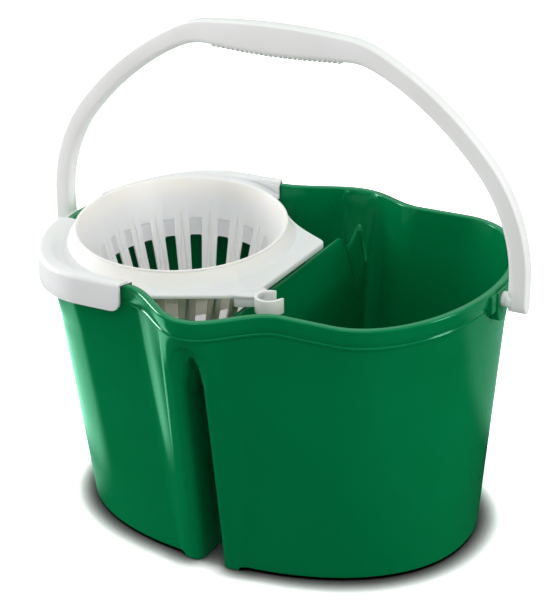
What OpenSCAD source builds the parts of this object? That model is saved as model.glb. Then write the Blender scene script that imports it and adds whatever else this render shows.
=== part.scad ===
/* [Bucket] */
// Length over the rim
rim_l = 420; // [360:1:480]
// Width over the rim at the two lobes
rim_w = 282; // [240:1:320]
// Height of the rim above the floor
rim_h = 255; // [210:1:300]
// How far each pouring bulge stands out at the middle of a long side
bulge = 34; // [20:1:44]
// Length of a pouring bulge along the rim
bulge_l = 148; // [120:1:170]
// How far each bulge stands out at the floor
base_bulge = 6; // [0:0.5:12]
// Length of a bulge at the floor
base_bulge_l = 64; // [50:1:90]
// How far the rim dips at the pouring bulges
rim_dip = 5; // [0:0.5:8]
// Length of each rounded end of the rim
end_l = 90; // [75:1:105]
// Length over the two tubs at the floor
base_l = 372; // [320:1:400]
// Width of the tubs at the floor
base_w = 264; // [220:1:280]
// Thickness of the moulded walls
wall = 2.6; // [2:0.1:3.4]
// Height of the foot ring under each tub
foot_h = 3; // [2:0.5:5]

/* [Rim] */
// Width of the rim's top
lip_w = 7; // [6.4:0.2:9]
// Height of the band under the rim's edge
skirt_h = 19; // [14:1:24]
// How far the band's lower edge stands off the wall
band_step = 1.3; // [0.8:0.1:2.4]

/* [Divider] */
// Height of the crest between the two tubs
crest_h = 218; // [190:1:226]
// Gap between the two tubs at the floor
slot_base = 21; // [16:1:32]
// Gap between the two tubs at the crest
slot_top = 17; // [14:1:24]
// Radius of the tubs' upright corners beside the gap
corner_r = 12; // [8:1:16]
// Depth of the scallop near each end of the crest
scallop = 15; // [0:1:20]
// Distance of each scallop's middle from the axis
scallop_y = 139; // [126:1:142]

/* [Wringer] */
// Length of the funnel's mouth, along the bucket
mouth_l = 176; // [150:1:186]
// Width of the funnel's mouth, across the bucket
mouth_w = 220; // [180:1:228]
// Depth of the funnel
funnel_h = 120; // [90:1:130]
// How much the funnel's wall leans in, per mm of depth
funnel_slope = 0.31; // [0.25:0.01:0.38]
// Number of drain slots round the funnel
slot_count = 24; // [16:1:30]
// Share of each pitch that is open
slot_share = 0.42; // [0.3:0.01:0.5]
// Depth of the slots' upper ends below the mouth
slot_from = 52; // [45:1:70]
// Height of the collar above the deck
collar_h = 13; // [8:1:16]
// Slope of the deck toward the divider, in degrees
lean = 5.3; // [3:0.1:6]
// Height of the mouth over the rim, at the funnel's middle
mouth_rise = 5; // [3:0.5:9]
// Height of the hooked skirts outside the rim
hook_h = 24; // [18:1:28]
// Width of the notch for the handle
notch_w = 70; // [60:1:80]
// Thickness of the wringer's moulding
shell = 2.4; // [2:0.1:3]

/* [Clip] */
// Diameter of the mop handle that the clip holds
clip_d = 20.5; // [16:0.5:25]
// Thickness of the clip's wall
clip_t = 2.6; // [2:0.1:3.4]
// Height of the clip
clip_h = 14; // [9:0.5:18]
// Opening angle of the clip's mouth
clip_mouth = 84; // [60:1:100]

/* [Handle] */
// Height of the grip's top above the floor
handle_top = 454.5; // [430:0.5:480]
// Depth of an arm, along the bucket
arm_t = 17; // [14:0.5:19]
// Width of an arm, across the bucket
arm_w = 13; // [11:0.5:16]
// Depth of the grip at its middle
grip_t = 26.5; // [22:0.5:30]
// Width of the grip
grip_w = 16; // [13:0.5:20]
// Length of the ribbed stretch under the grip
grip_l = 125; // [100:1:134]
// Number of ribs under the grip
rib_count = 27; // [15:2:31]
// Height of the ribs under the grip
rib_h = 2.5; // [1:0.1:3]
// Diameter of the pivot pins
pin_d = 13; // [9:0.5:15]
// Clearance round a pivot pin
pin_gap = 0.05; // [0.02:0.01:0.09]
// Drop of the pivots below the rim
pivot_drop = 11; // [10:0.5:14]
// Gap between an ear and the handle's arm
ear_gap = 5; // [3:0.5:8]

/* [Hidden] */
$fn = 64;

// Clearance between the wringer and the rim that carries it
seat_gap = 0.3;
// Steps round one tub: wall, each corner, gap side, and across the gap
arc_n = 36;
corner_n = 5;
side_n = 22;
cross_n = 8;
// Squareness of the base outline
base_n = 2.17;
rim_a = rim_l / 2;
rim_b = rim_w / 2;
over = lip_w - wall;
end_x = rim_a - end_l;
floor_t = foot_h + wall;
floor_r = 7;
lip_t = 2.6;
lip_r = 1.4;
ridge_rise = 8;
roof_rise = ridge_rise - 1;
fin_h = crest_h + 1;
scallop_l = 20;
apex_rise = 20;
spring_h = crest_h - 23;
loop_n = arc_n + 1 + 2 * corner_n + side_n - 1;
seam_n = loop_n - arc_n + 1;

function lerp(a, b, t) = a + (b - a) * t;
function ease(t) = t * t * (3 - 2 * t);
function clamp(t) = min(1, max(0, t));
function arch(t) = sqrt(max(0, 1 - t * t));
function flip_x(p) = [-p.x, p.y, p.z];

// Plan of the bucket: an oval floor that opens into two lobes with a bulge between them
function bump(x, l = bulge_l) = abs(x) < l / 2 ? pow(cos(180 * x / l), 2) : 0;
function base_y(x) = base_w / 2 * pow(max(0, 1 - pow(abs(x) / (base_l / 2), base_n)), 1 / base_n);
function lobe_y(x, off) = abs(x) > end_x ? (rim_b + off) * arch((abs(x) - end_x) / (end_l + off)) : rim_b + off;
function rim_y(x, off = 0) = lobe_y(x, off) + bulge * bump(x);
function half_l(z) = lerp(base_l / 2, rim_a - over, z / rim_h);
function wall_y(x, z) = let(u = min(1, abs(x) / half_l(z)), t = z / rim_h)
    lerp(base_y(u * base_l / 2), lobe_y(u * (rim_a - over), -over), t)
    + lerp(base_bulge, bulge, t) * bump(x, lerp(base_bulge_l, bulge_l, t));
function rim_z(x) = rim_h - rim_dip * bump(x);
function slot_x(z) = lerp(slot_base, slot_top, z / crest_h) / 2;

// One tub's outline at a height, counted from its front corner round the end to the gap side
function arc_pt(i, z) = let(
    a = half_l(z),
    from = asin(pow((slot_x(z) + corner_r) / a, base_n / 2)),
    front = i <= arc_n / 2,
    t = front ? lerp(from, 90, 2 * i / arc_n) : lerp(90, from, 2 * i / arc_n - 1),
    x = a * pow(sin(t), 2 / base_n))
    [x, (front ? -1 : 1) * wall_y(x, z)];
function corner_pt(t, z) = let(
    x = slot_x(z),
    p = [x + corner_r, wall_y(x + corner_r, z)],
    c = [x, wall_y(x, z)],
    q = [x, c.y - corner_r])
    p * (1 - t) * (1 - t) + c * 2 * t * (1 - t) + q * t * t;
function side_pt(t, z) = let(x = slot_x(z), y = wall_y(x, z) - corner_r) [x, y * cos(180 * t)];
function tub_pt(k, z) = let(
    n = (k + loop_n) % loop_n,
    back = n - arc_n,
    side = back - corner_n,
    front = side - side_n)
    back <= 0 ? arc_pt(n, z)
    : side <= 0 ? corner_pt(back / corner_n, z)
    : front <= 0 ? side_pt(side / side_n, z)
    : let(p = corner_pt(1 - front / corner_n, z)) [p.x, -p.y];

// A tub's outline moved inward by a distance, along its own normal
function inset_pt(k, z, t) = let(
    d = tub_pt(k + 1, z) - tub_pt(k - 1, z),
    p = tub_pt(k, z) - t * [d.y, -d.x] / norm(d))
    [p.x, p.y, z];
function tub_row(z, t) = [for (k = [0:loop_n - 1]) inset_pt(k, z, t)];

// The whole rim, with the stretches over the gap between the tubs' corners
function over_pt(m, side, z) = let(x = (slot_x(z) + corner_r) * (1 - 2 * m / cross_n))
    [side * x, side * wall_y(x, z)];
function ring_pt(q, z) = let(
    half = arc_n + cross_n,
    n = (q + 2 * half) % (2 * half),
    left = n >= half,
    i = left ? n - half : n,
    p = i <= arc_n ? arc_pt(i, z) : over_pt(i - arc_n, 1, z))
    left ? -p : p;
function ring_out(q, z, t) = let(
    d = ring_pt(q + 1, z) - ring_pt(q - 1, z),
    p = ring_pt(q, z) + t * [d.y, -d.x] / norm(d))
    [p.x, p.y];
ring_n = 2 * (arc_n + cross_n);
function rim_row(t, down) = [for (q = [0:ring_n - 1])
    let(p = ring_out(q, rim_h, t)) [p.x, p.y, rim_z(ring_pt(q, rim_h).x) - down]];

// Height of the divider's crest along its length
function scallop_at(y) = let(t = (abs(y) - scallop_y) / scallop_l) abs(t) < 1 ? pow(cos(90 * t), 2) : 0;
function crest_z(y) = lerp(crest_h, fin_h, clamp((abs(y) - scallop_y) / scallop_l)) - scallop * scallop_at(y);

// The gap side of a tub: its upper edge outside, under the crest, and inside, at the crest
function seam_k(e) = (arc_n + e) % loop_n;
function seam_step(e) = min(e, seam_n - 1 - e);
function outer_top(e) = let(
    s = seam_step(e),
    y = side_pt(clamp((e - corner_n) / side_n), crest_h).y,
    z = crest_z(y) - ridge_rise - wall)
    s < corner_n ? lerp(spring_h, crest_z(side_pt(0, crest_h).y) - ridge_rise - wall, s / corner_n) : z;
function inner_top(e) = let(
    s = seam_step(e),
    y = side_pt(clamp((e - corner_n) / side_n), crest_h).y,
    fin = crest_z(side_pt(0, crest_h).y) - ridge_rise)
    s < corner_n ? lerp(rim_z(0) - lip_r, fin, ease(s / corner_n)) : crest_z(y) - ridge_rise;

function outer_seam(e) = inset_pt(seam_k(e), outer_top(e), 0);
function spring_pt(m, side) = let(
    p = over_pt(m, side, spring_h),
    q = over_pt(m, side, spring_h + apex_rise),
    t = arch(1 - 2 * m / cross_n))
    [lerp(p.x, q.x, t), lerp(p.y, q.y, t), spring_h + apex_rise * t];
function inner_over(m, side) = let(
    p = over_pt(m, side, rim_h),
    q = side < 0 ? arc_n * 2 + cross_n + m : arc_n + m,
    r = ring_out(q, rim_h, -wall))
    [r.x, r.y, rim_z(p.x) - lip_r];
function inner_seam(e) = e == 0 ? inner_over(0, 1)
    : e == seam_n - 1 ? inner_over(cross_n, -1)
    : inset_pt(seam_k(e), inner_top(e), wall);

// A row across the gap, from one tub to the other, bowed up in the middle
function cross_row(p, rise, bow) = [for (m = [0:cross_n])
    let(t = 1 - 2 * m / cross_n) [p.x * t, p.y + bow * (1 - t * t), p.z + rise * arch(t)]];
function roof_row(e) = e == 0 ? [for (m = [0:cross_n]) spring_pt(m, 1)]
    : e == seam_n - 1 ? [for (m = [cross_n:-1:0]) spring_pt(m, -1)]
    : cross_row(outer_seam(e), lerp(apex_rise, roof_rise, clamp(seam_step(e) / corner_n)), 0);
function crest_row(e) = let(
    p = inner_seam(e),
    s = seam_step(e),
    far = sign(p.y) * (wall_y(0, p.z) - wall),
    bow = (far - p.y) * (s <= corner_n ? 1 - 0.3 * s / corner_n : clamp(0.7 - (s - corner_n) * 0.24)))
    e == 0 ? [for (m = [0:cross_n]) inner_over(m, 1)]
    : e == seam_n - 1 ? [for (m = [cross_n:-1:0]) inner_over(m, -1)]
    : cross_row(p, ridge_rise * clamp(s / (corner_n + 1)), bow);

// Faces of a grid of points, given as rows, with its first point's number
function grid_faces(rows, first, closed, turn) = let(n = len(rows[0]))
    [for (r = [0:len(rows) - 2]) for (c = [0:n - (closed ? 1 : 2)])
        let(d = (c + 1) % n, a = first + r * n, b = a + n)
        each turn ? [[a + c, a + d, b + d], [a + c, b + d, b + c]]
            : [[b + d, a + d, a + c], [b + c, b + d, a + c]]];
function fan_faces(n, first, turn) = [for (c = [0:n - 1])
    turn ? [first + (c + 1) % n, first + c, first + n] : [first + c, first + (c + 1) % n, first + n]];
function rows_points(rows) = [for (r = rows) each r];
function mean_point(row) = [for (i = [0:2]) sum([for (p = row) p[i]]) / len(row)];
function sum(v, i = 0) = i < len(v) ? v[i] + sum(v, i + 1) : 0;
// Each patch is rows, whether its rows close, whether it is turned over, and a cap on its first row
module patches(list) {
    sizes = [for (p = list) len(p[0]) * len(p[0][0]) + (p[3] ? 1 : 0)];
    firsts = [for (i = 0, s = 0; i < len(list); s = s + sizes[i], i = i + 1) s];
    points = [for (p = list) each concat(rows_points(p[0]), p[3] ? [mean_point(p[0][0])] : [])];
    faces = [for (i = [0:len(list) - 1]) let(p = list[i], n = len(p[0][0]), f = firsts[i])
        each concat(grid_faces(p[0], f, p[1], p[2]),
            p[3] ? [for (t = fan_faces(n, f, p[2])) [for (v = t) v == f + n ? f + n * len(p[0]) : v]] : [])];
    polyhedron(points, faces, convexity = 12);
}

function tub_top_row(inner) = [for (k = [0:loop_n - 1]) let(e = k - arc_n)
    k == 0 ? (inner ? inner_seam(seam_n - 1) : outer_seam(seam_n - 1))
    : e >= 0 ? (inner ? inner_seam(e) : outer_seam(e))
    : inner ? let(p = ring_out(k, rim_h, -wall)) [p.x, p.y, rim_z(ring_pt(k, rim_h).x) - lip_r]
    : inset_pt(k, spring_h, 0)];
function mirrored(rows) = [for (r = rows) [for (p = r) flip_x(p)]];

foot_rows = [[0, 5], [foot_h, 4.6], [foot_h, 2.6], [foot_h + 0.8, 0.8], [foot_h + 3, 0]];
outer_rows = concat(
    [for (r = foot_rows) tub_row(r[0], r[1])],
    [tub_top_row(false)]);
inner_rows = concat(
    [for (a = [0:22.5:90]) tub_row(floor_t + floor_r * (1 - cos(a)), wall + floor_r * (1 - sin(a)))],
    [tub_top_row(true)]);
spring_row = [for (q = [0:ring_n - 1]) let(h = arc_n + cross_n, i = q % h)
    i > arc_n ? spring_pt(i - arc_n, q < h ? 1 : -1)
    : let(p = inset_pt(i, spring_h, 0)) q < h ? p : [-p.x, -p.y, p.z]];
rim_rows = [
    spring_row,
    rim_row(0, skirt_h),
    rim_row(band_step, skirt_h),
    rim_row(over, lip_r),
    rim_row(over - 0.4 * lip_r, 0.3 * lip_r),
    rim_row(over - lip_r, 0),
    rim_row(lip_r - wall, 0),
    rim_row(-wall, lip_r)];

pivot_z = rim_h - pivot_drop;
ear_x = rim_a + 2.5;
ear_r = pin_d / 2 + 4.5;
arm_in = ear_x + ear_gap;
ear_back = rim_a - over - 2.5;
pin_end = rim_a - over - 0.4;
ear_low = ear_r + 9;

module along_x(x, y, z) {
    translate([x, y, z]) rotate([0, 90, 0]) children();
}

// A pivot ear: a pad on the rim's end with a round tongue below it
module ear() {
    translate([ear_back, -1.9 * ear_r, pivot_z - 8])
        cube([rim_a + 1 - ear_back, 3.8 * ear_r, pivot_drop + 8 - lip_t]);
    translate([ear_back, -ear_r, pivot_z - ear_low + ear_r])
        cube([ear_x - ear_back, 2 * ear_r, ear_low - ear_r + pivot_drop - lip_t]);
    along_x(ear_back - 0.5, 0, pivot_z - ear_low + ear_r) cylinder(r = ear_r, h = ear_x - ear_back + 0.5);
}

module bucket() color("#00884a") difference() {
    union() {
        patches([
            [outer_rows, true, false, true],
            [mirrored(outer_rows), true, true, true],
            [inner_rows, true, true, true],
            [mirrored(inner_rows), true, false, true],
            [rim_rows, true, false, false],
            [[for (e = [0:seam_n - 1]) roof_row(e)], false, true, false],
            [[for (e = [0:seam_n - 1]) crest_row(e)], false, false, false]]);
        ear();
        mirror([1, 0, 0]) ear();
    }
    for (s = [0, 1]) mirror([s, 0, 0])
        along_x(pin_end - 0.5, 0, pivot_z) cylinder(r = pin_d / 2 + pin_gap, h = arm_in - pin_end);
}

// The handle's outer edge: arcs from the grip's middle down to the arm, each a radius and a turn
arch_arcs = [[700, 5.7, 1], [80, 20.3, 4], [310, 24, 6], [155, 40, 7]];
arm_run = 20;
arm_top = pivot_z + arm_run;
arch_x = (arm_in + arm_t) / arc_end(3).x;
arch_z = (handle_top - arm_top) / arc_end(3).y;
rib_step = grip_l / (rib_count - 1);
function turned(i) = i < 0 ? 0 : turned(i - 1) + arch_arcs[i][1];
function arc_end(i) = i < 0 ? [0, 0] : let(r = arch_arcs[i][0], a = turned(i - 1), b = turned(i))
    arc_end(i - 1) + r * [sin(b) - sin(a), cos(a) - cos(b)];
function arch_pt(i, a) = let(r = arch_arcs[i][0], s = turned(i - 1), p = arc_end(i - 1)
    + r * [sin(a) - sin(s), cos(s) - cos(a)])
    [p.x * arch_x, handle_top - p.y * arch_z];
function grip_at(x) = abs(x) < grip_l ? pow(cos(90 * x / grip_l), 2) : 0;
// Half of the path: a place on the outer edge, the way inward, a rib's height and a width factor
function inward(a) = let(v = [-sin(a) * arch_z, -cos(a) * arch_x]) v / norm(v);
half_path = concat(
    [for (j = [0:rib_count]) let(a = asin(j * rib_step / 2 / arch_x / arch_arcs[0][0]))
        [arch_pt(0, a), inward(a), rib_h * (1 - j % 2), 1]],
    [for (i = [0:3]) for (j = [1:arch_arcs[i][2]])
        let(a = lerp(turned(i - 1), turned(i), j / arch_arcs[i][2])) [arch_pt(i, a), inward(a), 0, 1]],
    [for (d = [[3, 1], [-1, 0.97], [-5, 0.86], [-8, 0.62], [-10, 0.3]])
        [[arm_in + arm_t, pivot_z + d[0]], [-1, 0], 0, d[1]]]);
function section(s, side) = let(
    g = grip_at(s[0].x),
    t = lerp(arm_t, grip_t - rib_h, g),
    w = lerp(arm_w, grip_w, g) / 2 * s[3],
    d = t + s[2],
    r = min(5.5, w * 0.8))
    [for (q = [[0.8 - w, 0], [w - 0.8, 0], [w, 0.8], [w, t - r], [w - 0.3 * r, d - 0.3 * r], [w - r, d],
            [r - w, d], [0.3 * r - w, d - 0.3 * r], [-w, t - r], [-w, 0.8]])
        [side * (s[0].x + s[1].x * q[1]), q[0], s[0].y + s[1].y * q[1]]];

module handle() color("#f1f1ee") {
    n = len(half_path);
    left = [for (i = [n - 1:-1:1]) section(half_path[i], -1)];
    right = [for (i = [0:n - 1]) section(half_path[i], 1)];
    rows = concat(left, right);
    points = rows_points(rows);
    last = len(points) - 10;
    ends = [[for (c = [9:-1:0]) c], [for (c = [0:9]) last + c]];
    polyhedron(points, concat(grid_faces(rows, 0, true, true), ends));
    for (s = [0, 1]) mirror([s, 0, 0])
        along_x(pin_end, 0, pivot_z) cylinder(r = pin_d / 2, h = arm_in + 5 - pin_end);
}

// The wringer: a slotted funnel in a sloping deck that hooks over one end of the rim
mouth_a = mouth_l / 2;
mouth_b = mouth_w / 2;
mouth_in = 22;
mouth_x = -rim_a + mouth_in + mouth_a;
mouth_z = rim_h + mouth_rise;
tilt = tan(lean);
edge_x = 11.5;
edge_y = 65;
edge_h = 6;
waist_at = 58;
waist_gap = 7.5;
hook_off = 5.5;
wing_x = -76;
crown_z = rim_h + seat_gap + shell;
hook_z = crown_z - hook_h - 2;
notch_x = -rim_a + lip_w + 5.5;
inside = -lip_w - 2.2;
floor_z = mouth_z - funnel_h;
pitch = 360 / slot_count;
blind = 0.025;
fracs = [-slot_share / 2 - blind, -slot_share / 2, slot_share / 2, slot_share / 2 + blind, 0.5];

function polar(t) = atan2(mouth_b * sin(t), mouth_a * cos(t));
function unpolar(f) = atan2(mouth_a * sin(f), mouth_b * cos(f));
function collar_r(f, d) = 1 / norm([cos(f) / (mouth_a + d), sin(f) / (mouth_b + d)]);
corner_at = atan2(edge_y, edge_x - mouth_x);
wing_at = atan2(rim_b + hook_off, wing_x - mouth_x);
notch_at = atan2(notch_w / 2, notch_x - 8 - mouth_x);
step = 0.3;
wing_gap = hit(wing_at, inside) - shell - 0.5 - collar_r(wing_at, shell);
marks = [for (a = [corner_at, wing_at - step, wing_at + step, notch_at - step, notch_at + step]) unpolar(a)];
specials = concat(marks, [for (i = [4:-1:0]) 360 - marks[i]]);
function plain_t(j) = pitch * (floor(j / 5) + fracs[j % 5]) + 0;
turns = [for (j = [1:slot_count * 5]) let(a = plain_t(j), b = plain_t(j + 1))
    each concat([a], [for (t = specials) if (t > a && t < b) t])];
turn_n = len(turns);

// Distance from the funnel's middle to the rim's outline, moved out by a distance
function hit(f, off, lo = 0, hi = rim_l, n = 0) = let(
    r = (lo + hi) / 2,
    x = mouth_x + r * cos(f),
    out = abs(x) > rim_a + off || abs(r * sin(f)) > rim_y(x, off))
    n > 22 ? r : out ? hit(f, off, lo, r, n + 1) : hit(f, off, r, hi, n + 1);
function edge_r(f) = let(
    a = abs(f),
    c = collar_r(a, shell),
    tip = edge_y / sin(corner_at) - collar_r(corner_at, shell))
    a <= corner_at ? (edge_x - mouth_x) / cos(a)
    : a < waist_at ? c + lerp(waist_gap, tip, pow((waist_at - a) / (waist_at - corner_at), 2))
    : a < wing_at ? c + lerp(waist_gap, wing_gap, pow((a - waist_at) / (wing_at - waist_at), 2))
    : (notch_x - mouth_x) / cos(a);
function slope_z(x, d) = mouth_z - d - (x - mouth_x) * tilt;
function in_slot(t) = let(u = t / pitch - round(t / pitch)) abs(u) < slot_share / 2 - 0.001;
function on_panel(t) = let(u = t / pitch - round(t / pitch)) abs(u) < slot_share / 2 + 0.002;
function rib_part(t) = let(u = abs(t / pitch - round(t / pitch)), from = slot_share / 2 + blind)
    clamp((u - from) / (0.5 - from));

function on_wall(t, d, out) = let(
    e = out - funnel_slope * d,
    x = mouth_x + (mouth_a + e) * cos(t),
    y = (mouth_b + e) * sin(t))
    [x, y, slope_z(x, d)];
function on_ray(f, r, d) = let(x = mouth_x + r * cos(f)) [x, r * sin(f), slope_z(x, d)];
function at_z(f, r, z) = [mouth_x + r * cos(f), r * sin(f), z];
panel_from = slot_from - 10;
slot_to = funnel_h - 9;

// One column of the wringer, from the funnel's floor up its inside, over the deck, and down its outside
function column(t) = let(
    f = polar(t),
    a = abs(f),
    wing = a > wing_at && a < notch_at,
    rib = rib_part(t),
    sunk = on_panel(t) ? 1 : 0,
    edge = wing ? hit(f, inside) - 0.8 : edge_r(f),
    foot = min(11, edge - collar_r(f, shell) - 4.2))
    concat(
        [for (q = [[funnel_h - shell, -4.5 * rib], [slot_to, -4.2 * rib], [slot_from, -2 * rib + 1.1 * sunk],
            [panel_from, 1.1 * sunk], [panel_from - 1.5, 0], [collar_h, 0], [0.9, 0]])
            on_wall(t, q[0], q[1])],
        [for (q = [[0, 0.9], [0, shell - 0.7], [0.9, shell + 0.2], [collar_h * 0.55, shell + 0.25 * foot],
            [collar_h, foot + shell + funnel_slope * collar_h]]) on_wall(t, q[0], q[1])],
        [on_ray(f, edge - 1.6, collar_h), on_ray(f, edge - 1.2, collar_h), on_ray(f, edge - 0.7, collar_h),
            on_ray(f, edge, collar_h + 0.7), on_ray(f, edge, collar_h + edge_h),
            on_ray(f, edge - shell, collar_h + edge_h),
            on_ray(f, edge - shell, collar_h + shell + 0.8), on_ray(f, edge - shell - 0.4, collar_h + shell),
            on_ray(f, edge - shell - 0.8, collar_h + shell)],
        [for (q = [[collar_h + shell, shell + 1.2 + funnel_slope * collar_h], [collar_h + shell + 4, shell],
            [panel_from, shell], [slot_from, shell + 1.5 * rib], [slot_to, shell + 2 * rib],
            [funnel_h, shell + 2 * rib]]) on_wall(t, q[0], q[1])]);
columns = [for (t = turns) column(t)];
row_n = len(columns[0]);
in_rows = [1, 2];
out_rows = [row_n - 3, row_n - 2];
slot_cell = [for (c = [0:turn_n - 1]) let(a = turns[c], b = turns[(c + 1) % turn_n])
    in_slot((a + (b < a ? b + 360 : b)) / 2)];

// A hook over the rim, as a strip that is bent over it, at one place along a wing
hook_steps = 20;
function hook_row(f, side) = let(
    far = hit(f, hook_off),
    near = hit(f, inside),
    deck = slope_z(mouth_x + near * cos(f), collar_h),
    top = max(crown_z, deck + 0.1),
    leg = min(deck - shell - 0.6, rim_h - 1),
    low = hook_z + 9 * (1 - arch(clamp(1 - (f - wing_at) * far * PI / 180 / 9))),
    seat = rim_h + seat_gap)
    [for (q = [[near - shell, leg], [near - shell + 0.3, top], [far - 1.2, top], [far, top - 1.2],
            [far + 0.5, low], [far + 0.5 - shell, low], [far - shell, seat - 0.5], [far - shell - 0.5, seat],
            [near, seat], [near, leg]])
        [mouth_x + q[0] * cos(f), side * q[0] * sin(f), q[1]]];

module hook(side) {
    shares = [for (i = [0:hook_steps]) i < 3 ? [0, 0.012, 0.04][i] : lerp(0.04, 1, (i - 2) / (hook_steps - 2))];
    rows = [for (u = shares) hook_row(lerp(wing_at, notch_at, u), side)];
    points = rows_points(rows);
    last = len(points) - 10;
    ends = [for (k = [0:3]) each [[k, k + 1, 8 - k], [k, 8 - k, 9 - k]]];
    backs = [for (t = ends) [t[2], t[1], t[0]]];
    first_cap = side < 0 ? backs : ends;
    last_cap = [for (t = side < 0 ? ends : backs) [for (v = t) last + v]];
    polyhedron(points, concat(grid_faces(rows, 0, true, side < 0), first_cap, last_cap), convexity = 6);
}

module funnel_deck() {
    inner = [for (c = columns) c[0]];
    outer = [for (c = columns) c[row_n - 1]];
    points = concat(rows_points(columns), [mean_point(inner), mean_point(outer)]);
    n = turn_n * row_n;
    faces = concat(
        [for (c = [0:turn_n - 1]) for (r = [0:row_n - 2])
            let(a = c * row_n + r, b = (c + 1) % turn_n * row_n + r)
            if (!slot_cell[c] || (r != in_rows[0] && r != out_rows[0]))
                each [[b, b + 1, a], [b + 1, a + 1, a]]],
        [for (c = [0:turn_n - 1]) let(a = c * row_n, b = (c + 1) % turn_n * row_n)
            each [[n, b, a], [n + 1, a + row_n - 1, b + row_n - 1]]],
        [for (c = [0:turn_n - 1]) let(a = c * row_n, b = (c + 1) % turn_n * row_n)
            if (slot_cell[c]) each concat(
                [[b + out_rows[1], a + out_rows[1], a + in_rows[0]],
                    [b + in_rows[0], b + out_rows[1], a + in_rows[0]]],
                [[a + out_rows[0], b + out_rows[0], a + in_rows[1]],
                    [b + out_rows[0], b + in_rows[1], a + in_rows[1]]])],
        [for (c = [0:turn_n - 1]) let(a = c * row_n, p = slot_cell[(c + turn_n - 1) % turn_n])
            if (slot_cell[c] != p) let(q = [a + in_rows[0], a + in_rows[1], a + out_rows[0], a + out_rows[1]])
                each p ? [[q[1], q[2], q[0]], [q[2], q[3], q[0]]]
                    : [[q[2], q[1], q[0]], [q[3], q[2], q[0]]]]);
    polyhedron(points, faces, convexity = 12);
}

// The spring clip for a mop handle, on an arm from the deck's front corner
clip_x = 27.5;
clip_y = -71;
clip_turn = 47;
clip_r = clip_d / 2;
clip_top = slope_z(edge_x, collar_h) + 1.5;
clip_low = clip_top - clip_h;
arm_low = slope_z(edge_x, collar_h) - 4;

module clip() {
    difference() {
        union() {
            translate([clip_x, clip_y, clip_low]) cylinder(r = clip_r + clip_t, h = clip_h);
            translate([0, 0, arm_low]) linear_extrude(3.4)
                polygon([[-10, clip_y - 2], [4, -52], [clip_x - 3, clip_y + clip_r + 2], [clip_x, clip_y],
                    [clip_x - 8, clip_y - clip_r + 1]]);
            translate([edge_x - 2, clip_y + 4, clip_low + 2])
                cube([clip_x - clip_r - edge_x + 1, 2.4, arm_low - clip_low - 1]);
        }
        translate([clip_x, clip_y, clip_low - 1]) cylinder(r = clip_r, h = clip_h + 2);
        translate([clip_x, clip_y, clip_low - 1]) rotate([0, 0, clip_turn]) linear_extrude(clip_h + 2)
            polygon([[0, 0], [40 * cos(clip_mouth / 2), 40 * sin(clip_mouth / 2)],
                [40 * cos(clip_mouth / 2), -40 * sin(clip_mouth / 2)]]);
    }
    for (s = [-1, 1]) translate([clip_x, clip_y, clip_low]) rotate([0, 0, clip_turn + s * clip_mouth / 2])
        translate([clip_r + clip_t * 0.62, 0, 0]) cylinder(r = clip_t * 0.6, h = clip_h);
}

module wringer() color("#f4f4f1") {
    difference() {
        funnel_deck();
        for (i = [0:5])
            translate([mouth_x + 30 * cos(60 * i), 34 * sin(60 * i), floor_z - 20]) cylinder(r = 7, h = 60);
    }
    hook(1);
    hook(-1);
    clip();
}

bucket();
wringer();
handle();
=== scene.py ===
import math
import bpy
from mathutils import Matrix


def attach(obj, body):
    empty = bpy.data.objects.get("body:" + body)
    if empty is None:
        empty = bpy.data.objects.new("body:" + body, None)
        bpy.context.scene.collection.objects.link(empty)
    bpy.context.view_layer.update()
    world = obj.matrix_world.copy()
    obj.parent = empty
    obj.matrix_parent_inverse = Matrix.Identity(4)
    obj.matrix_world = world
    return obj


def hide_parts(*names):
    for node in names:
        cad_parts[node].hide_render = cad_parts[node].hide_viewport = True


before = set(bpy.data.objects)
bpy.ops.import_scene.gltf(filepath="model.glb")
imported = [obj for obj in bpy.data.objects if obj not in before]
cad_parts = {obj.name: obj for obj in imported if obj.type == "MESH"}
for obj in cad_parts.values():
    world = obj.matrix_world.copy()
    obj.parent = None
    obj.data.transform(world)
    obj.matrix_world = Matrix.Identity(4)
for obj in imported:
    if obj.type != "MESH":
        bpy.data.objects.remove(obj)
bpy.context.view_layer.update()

from types import SimpleNamespace

import bmesh
import bpy
from bpy.props import FloatProperty, FloatVectorProperty, IntProperty, PointerProperty
from mathutils import Matrix, Vector
from mathutils.geometry import tessellate_polygon

bl_info = {
    "name": "Two-chamber mop bucket",
    "version": (1, 0, 0),
    "blender": (4, 5, 0),
    "location": "View3D > Sidebar > Bucket",
    "description": "Dresses a two-chamber mop bucket with its wringer and handle",
    "category": "Object",
}

MM = 0.001
MERGE_GAP = 0.004 * MM
TINY_GAP = 0.002 * MM
FULL_TURN = 2 * math.pi


def length(label, text, mm):
    """A size that is shown in the user's unit and kept in metres."""
    return FloatProperty(
        name=label, description=text, default=mm * MM, unit="LENGTH", subtype="DISTANCE"
    )


def angle(label, text, degrees):
    """A turn that is shown in degrees and kept in radians."""
    return FloatProperty(
        name=label, description=text, default=math.radians(degrees), subtype="ANGLE"
    )


def number(label, text, value, low, high):
    """How many there are of a thing."""
    return IntProperty(name=label, description=text, default=value, min=low, max=high)


def share(label, text, value):
    """A part of one."""
    return FloatProperty(
        name=label, description=text, default=value, min=0, max=1, subtype="FACTOR"
    )


def tint(label, text, colour):
    """A linear colour."""
    return FloatVectorProperty(
        name=label, description=text, default=colour, subtype="COLOR", size=3, min=0, max=1
    )


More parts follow.
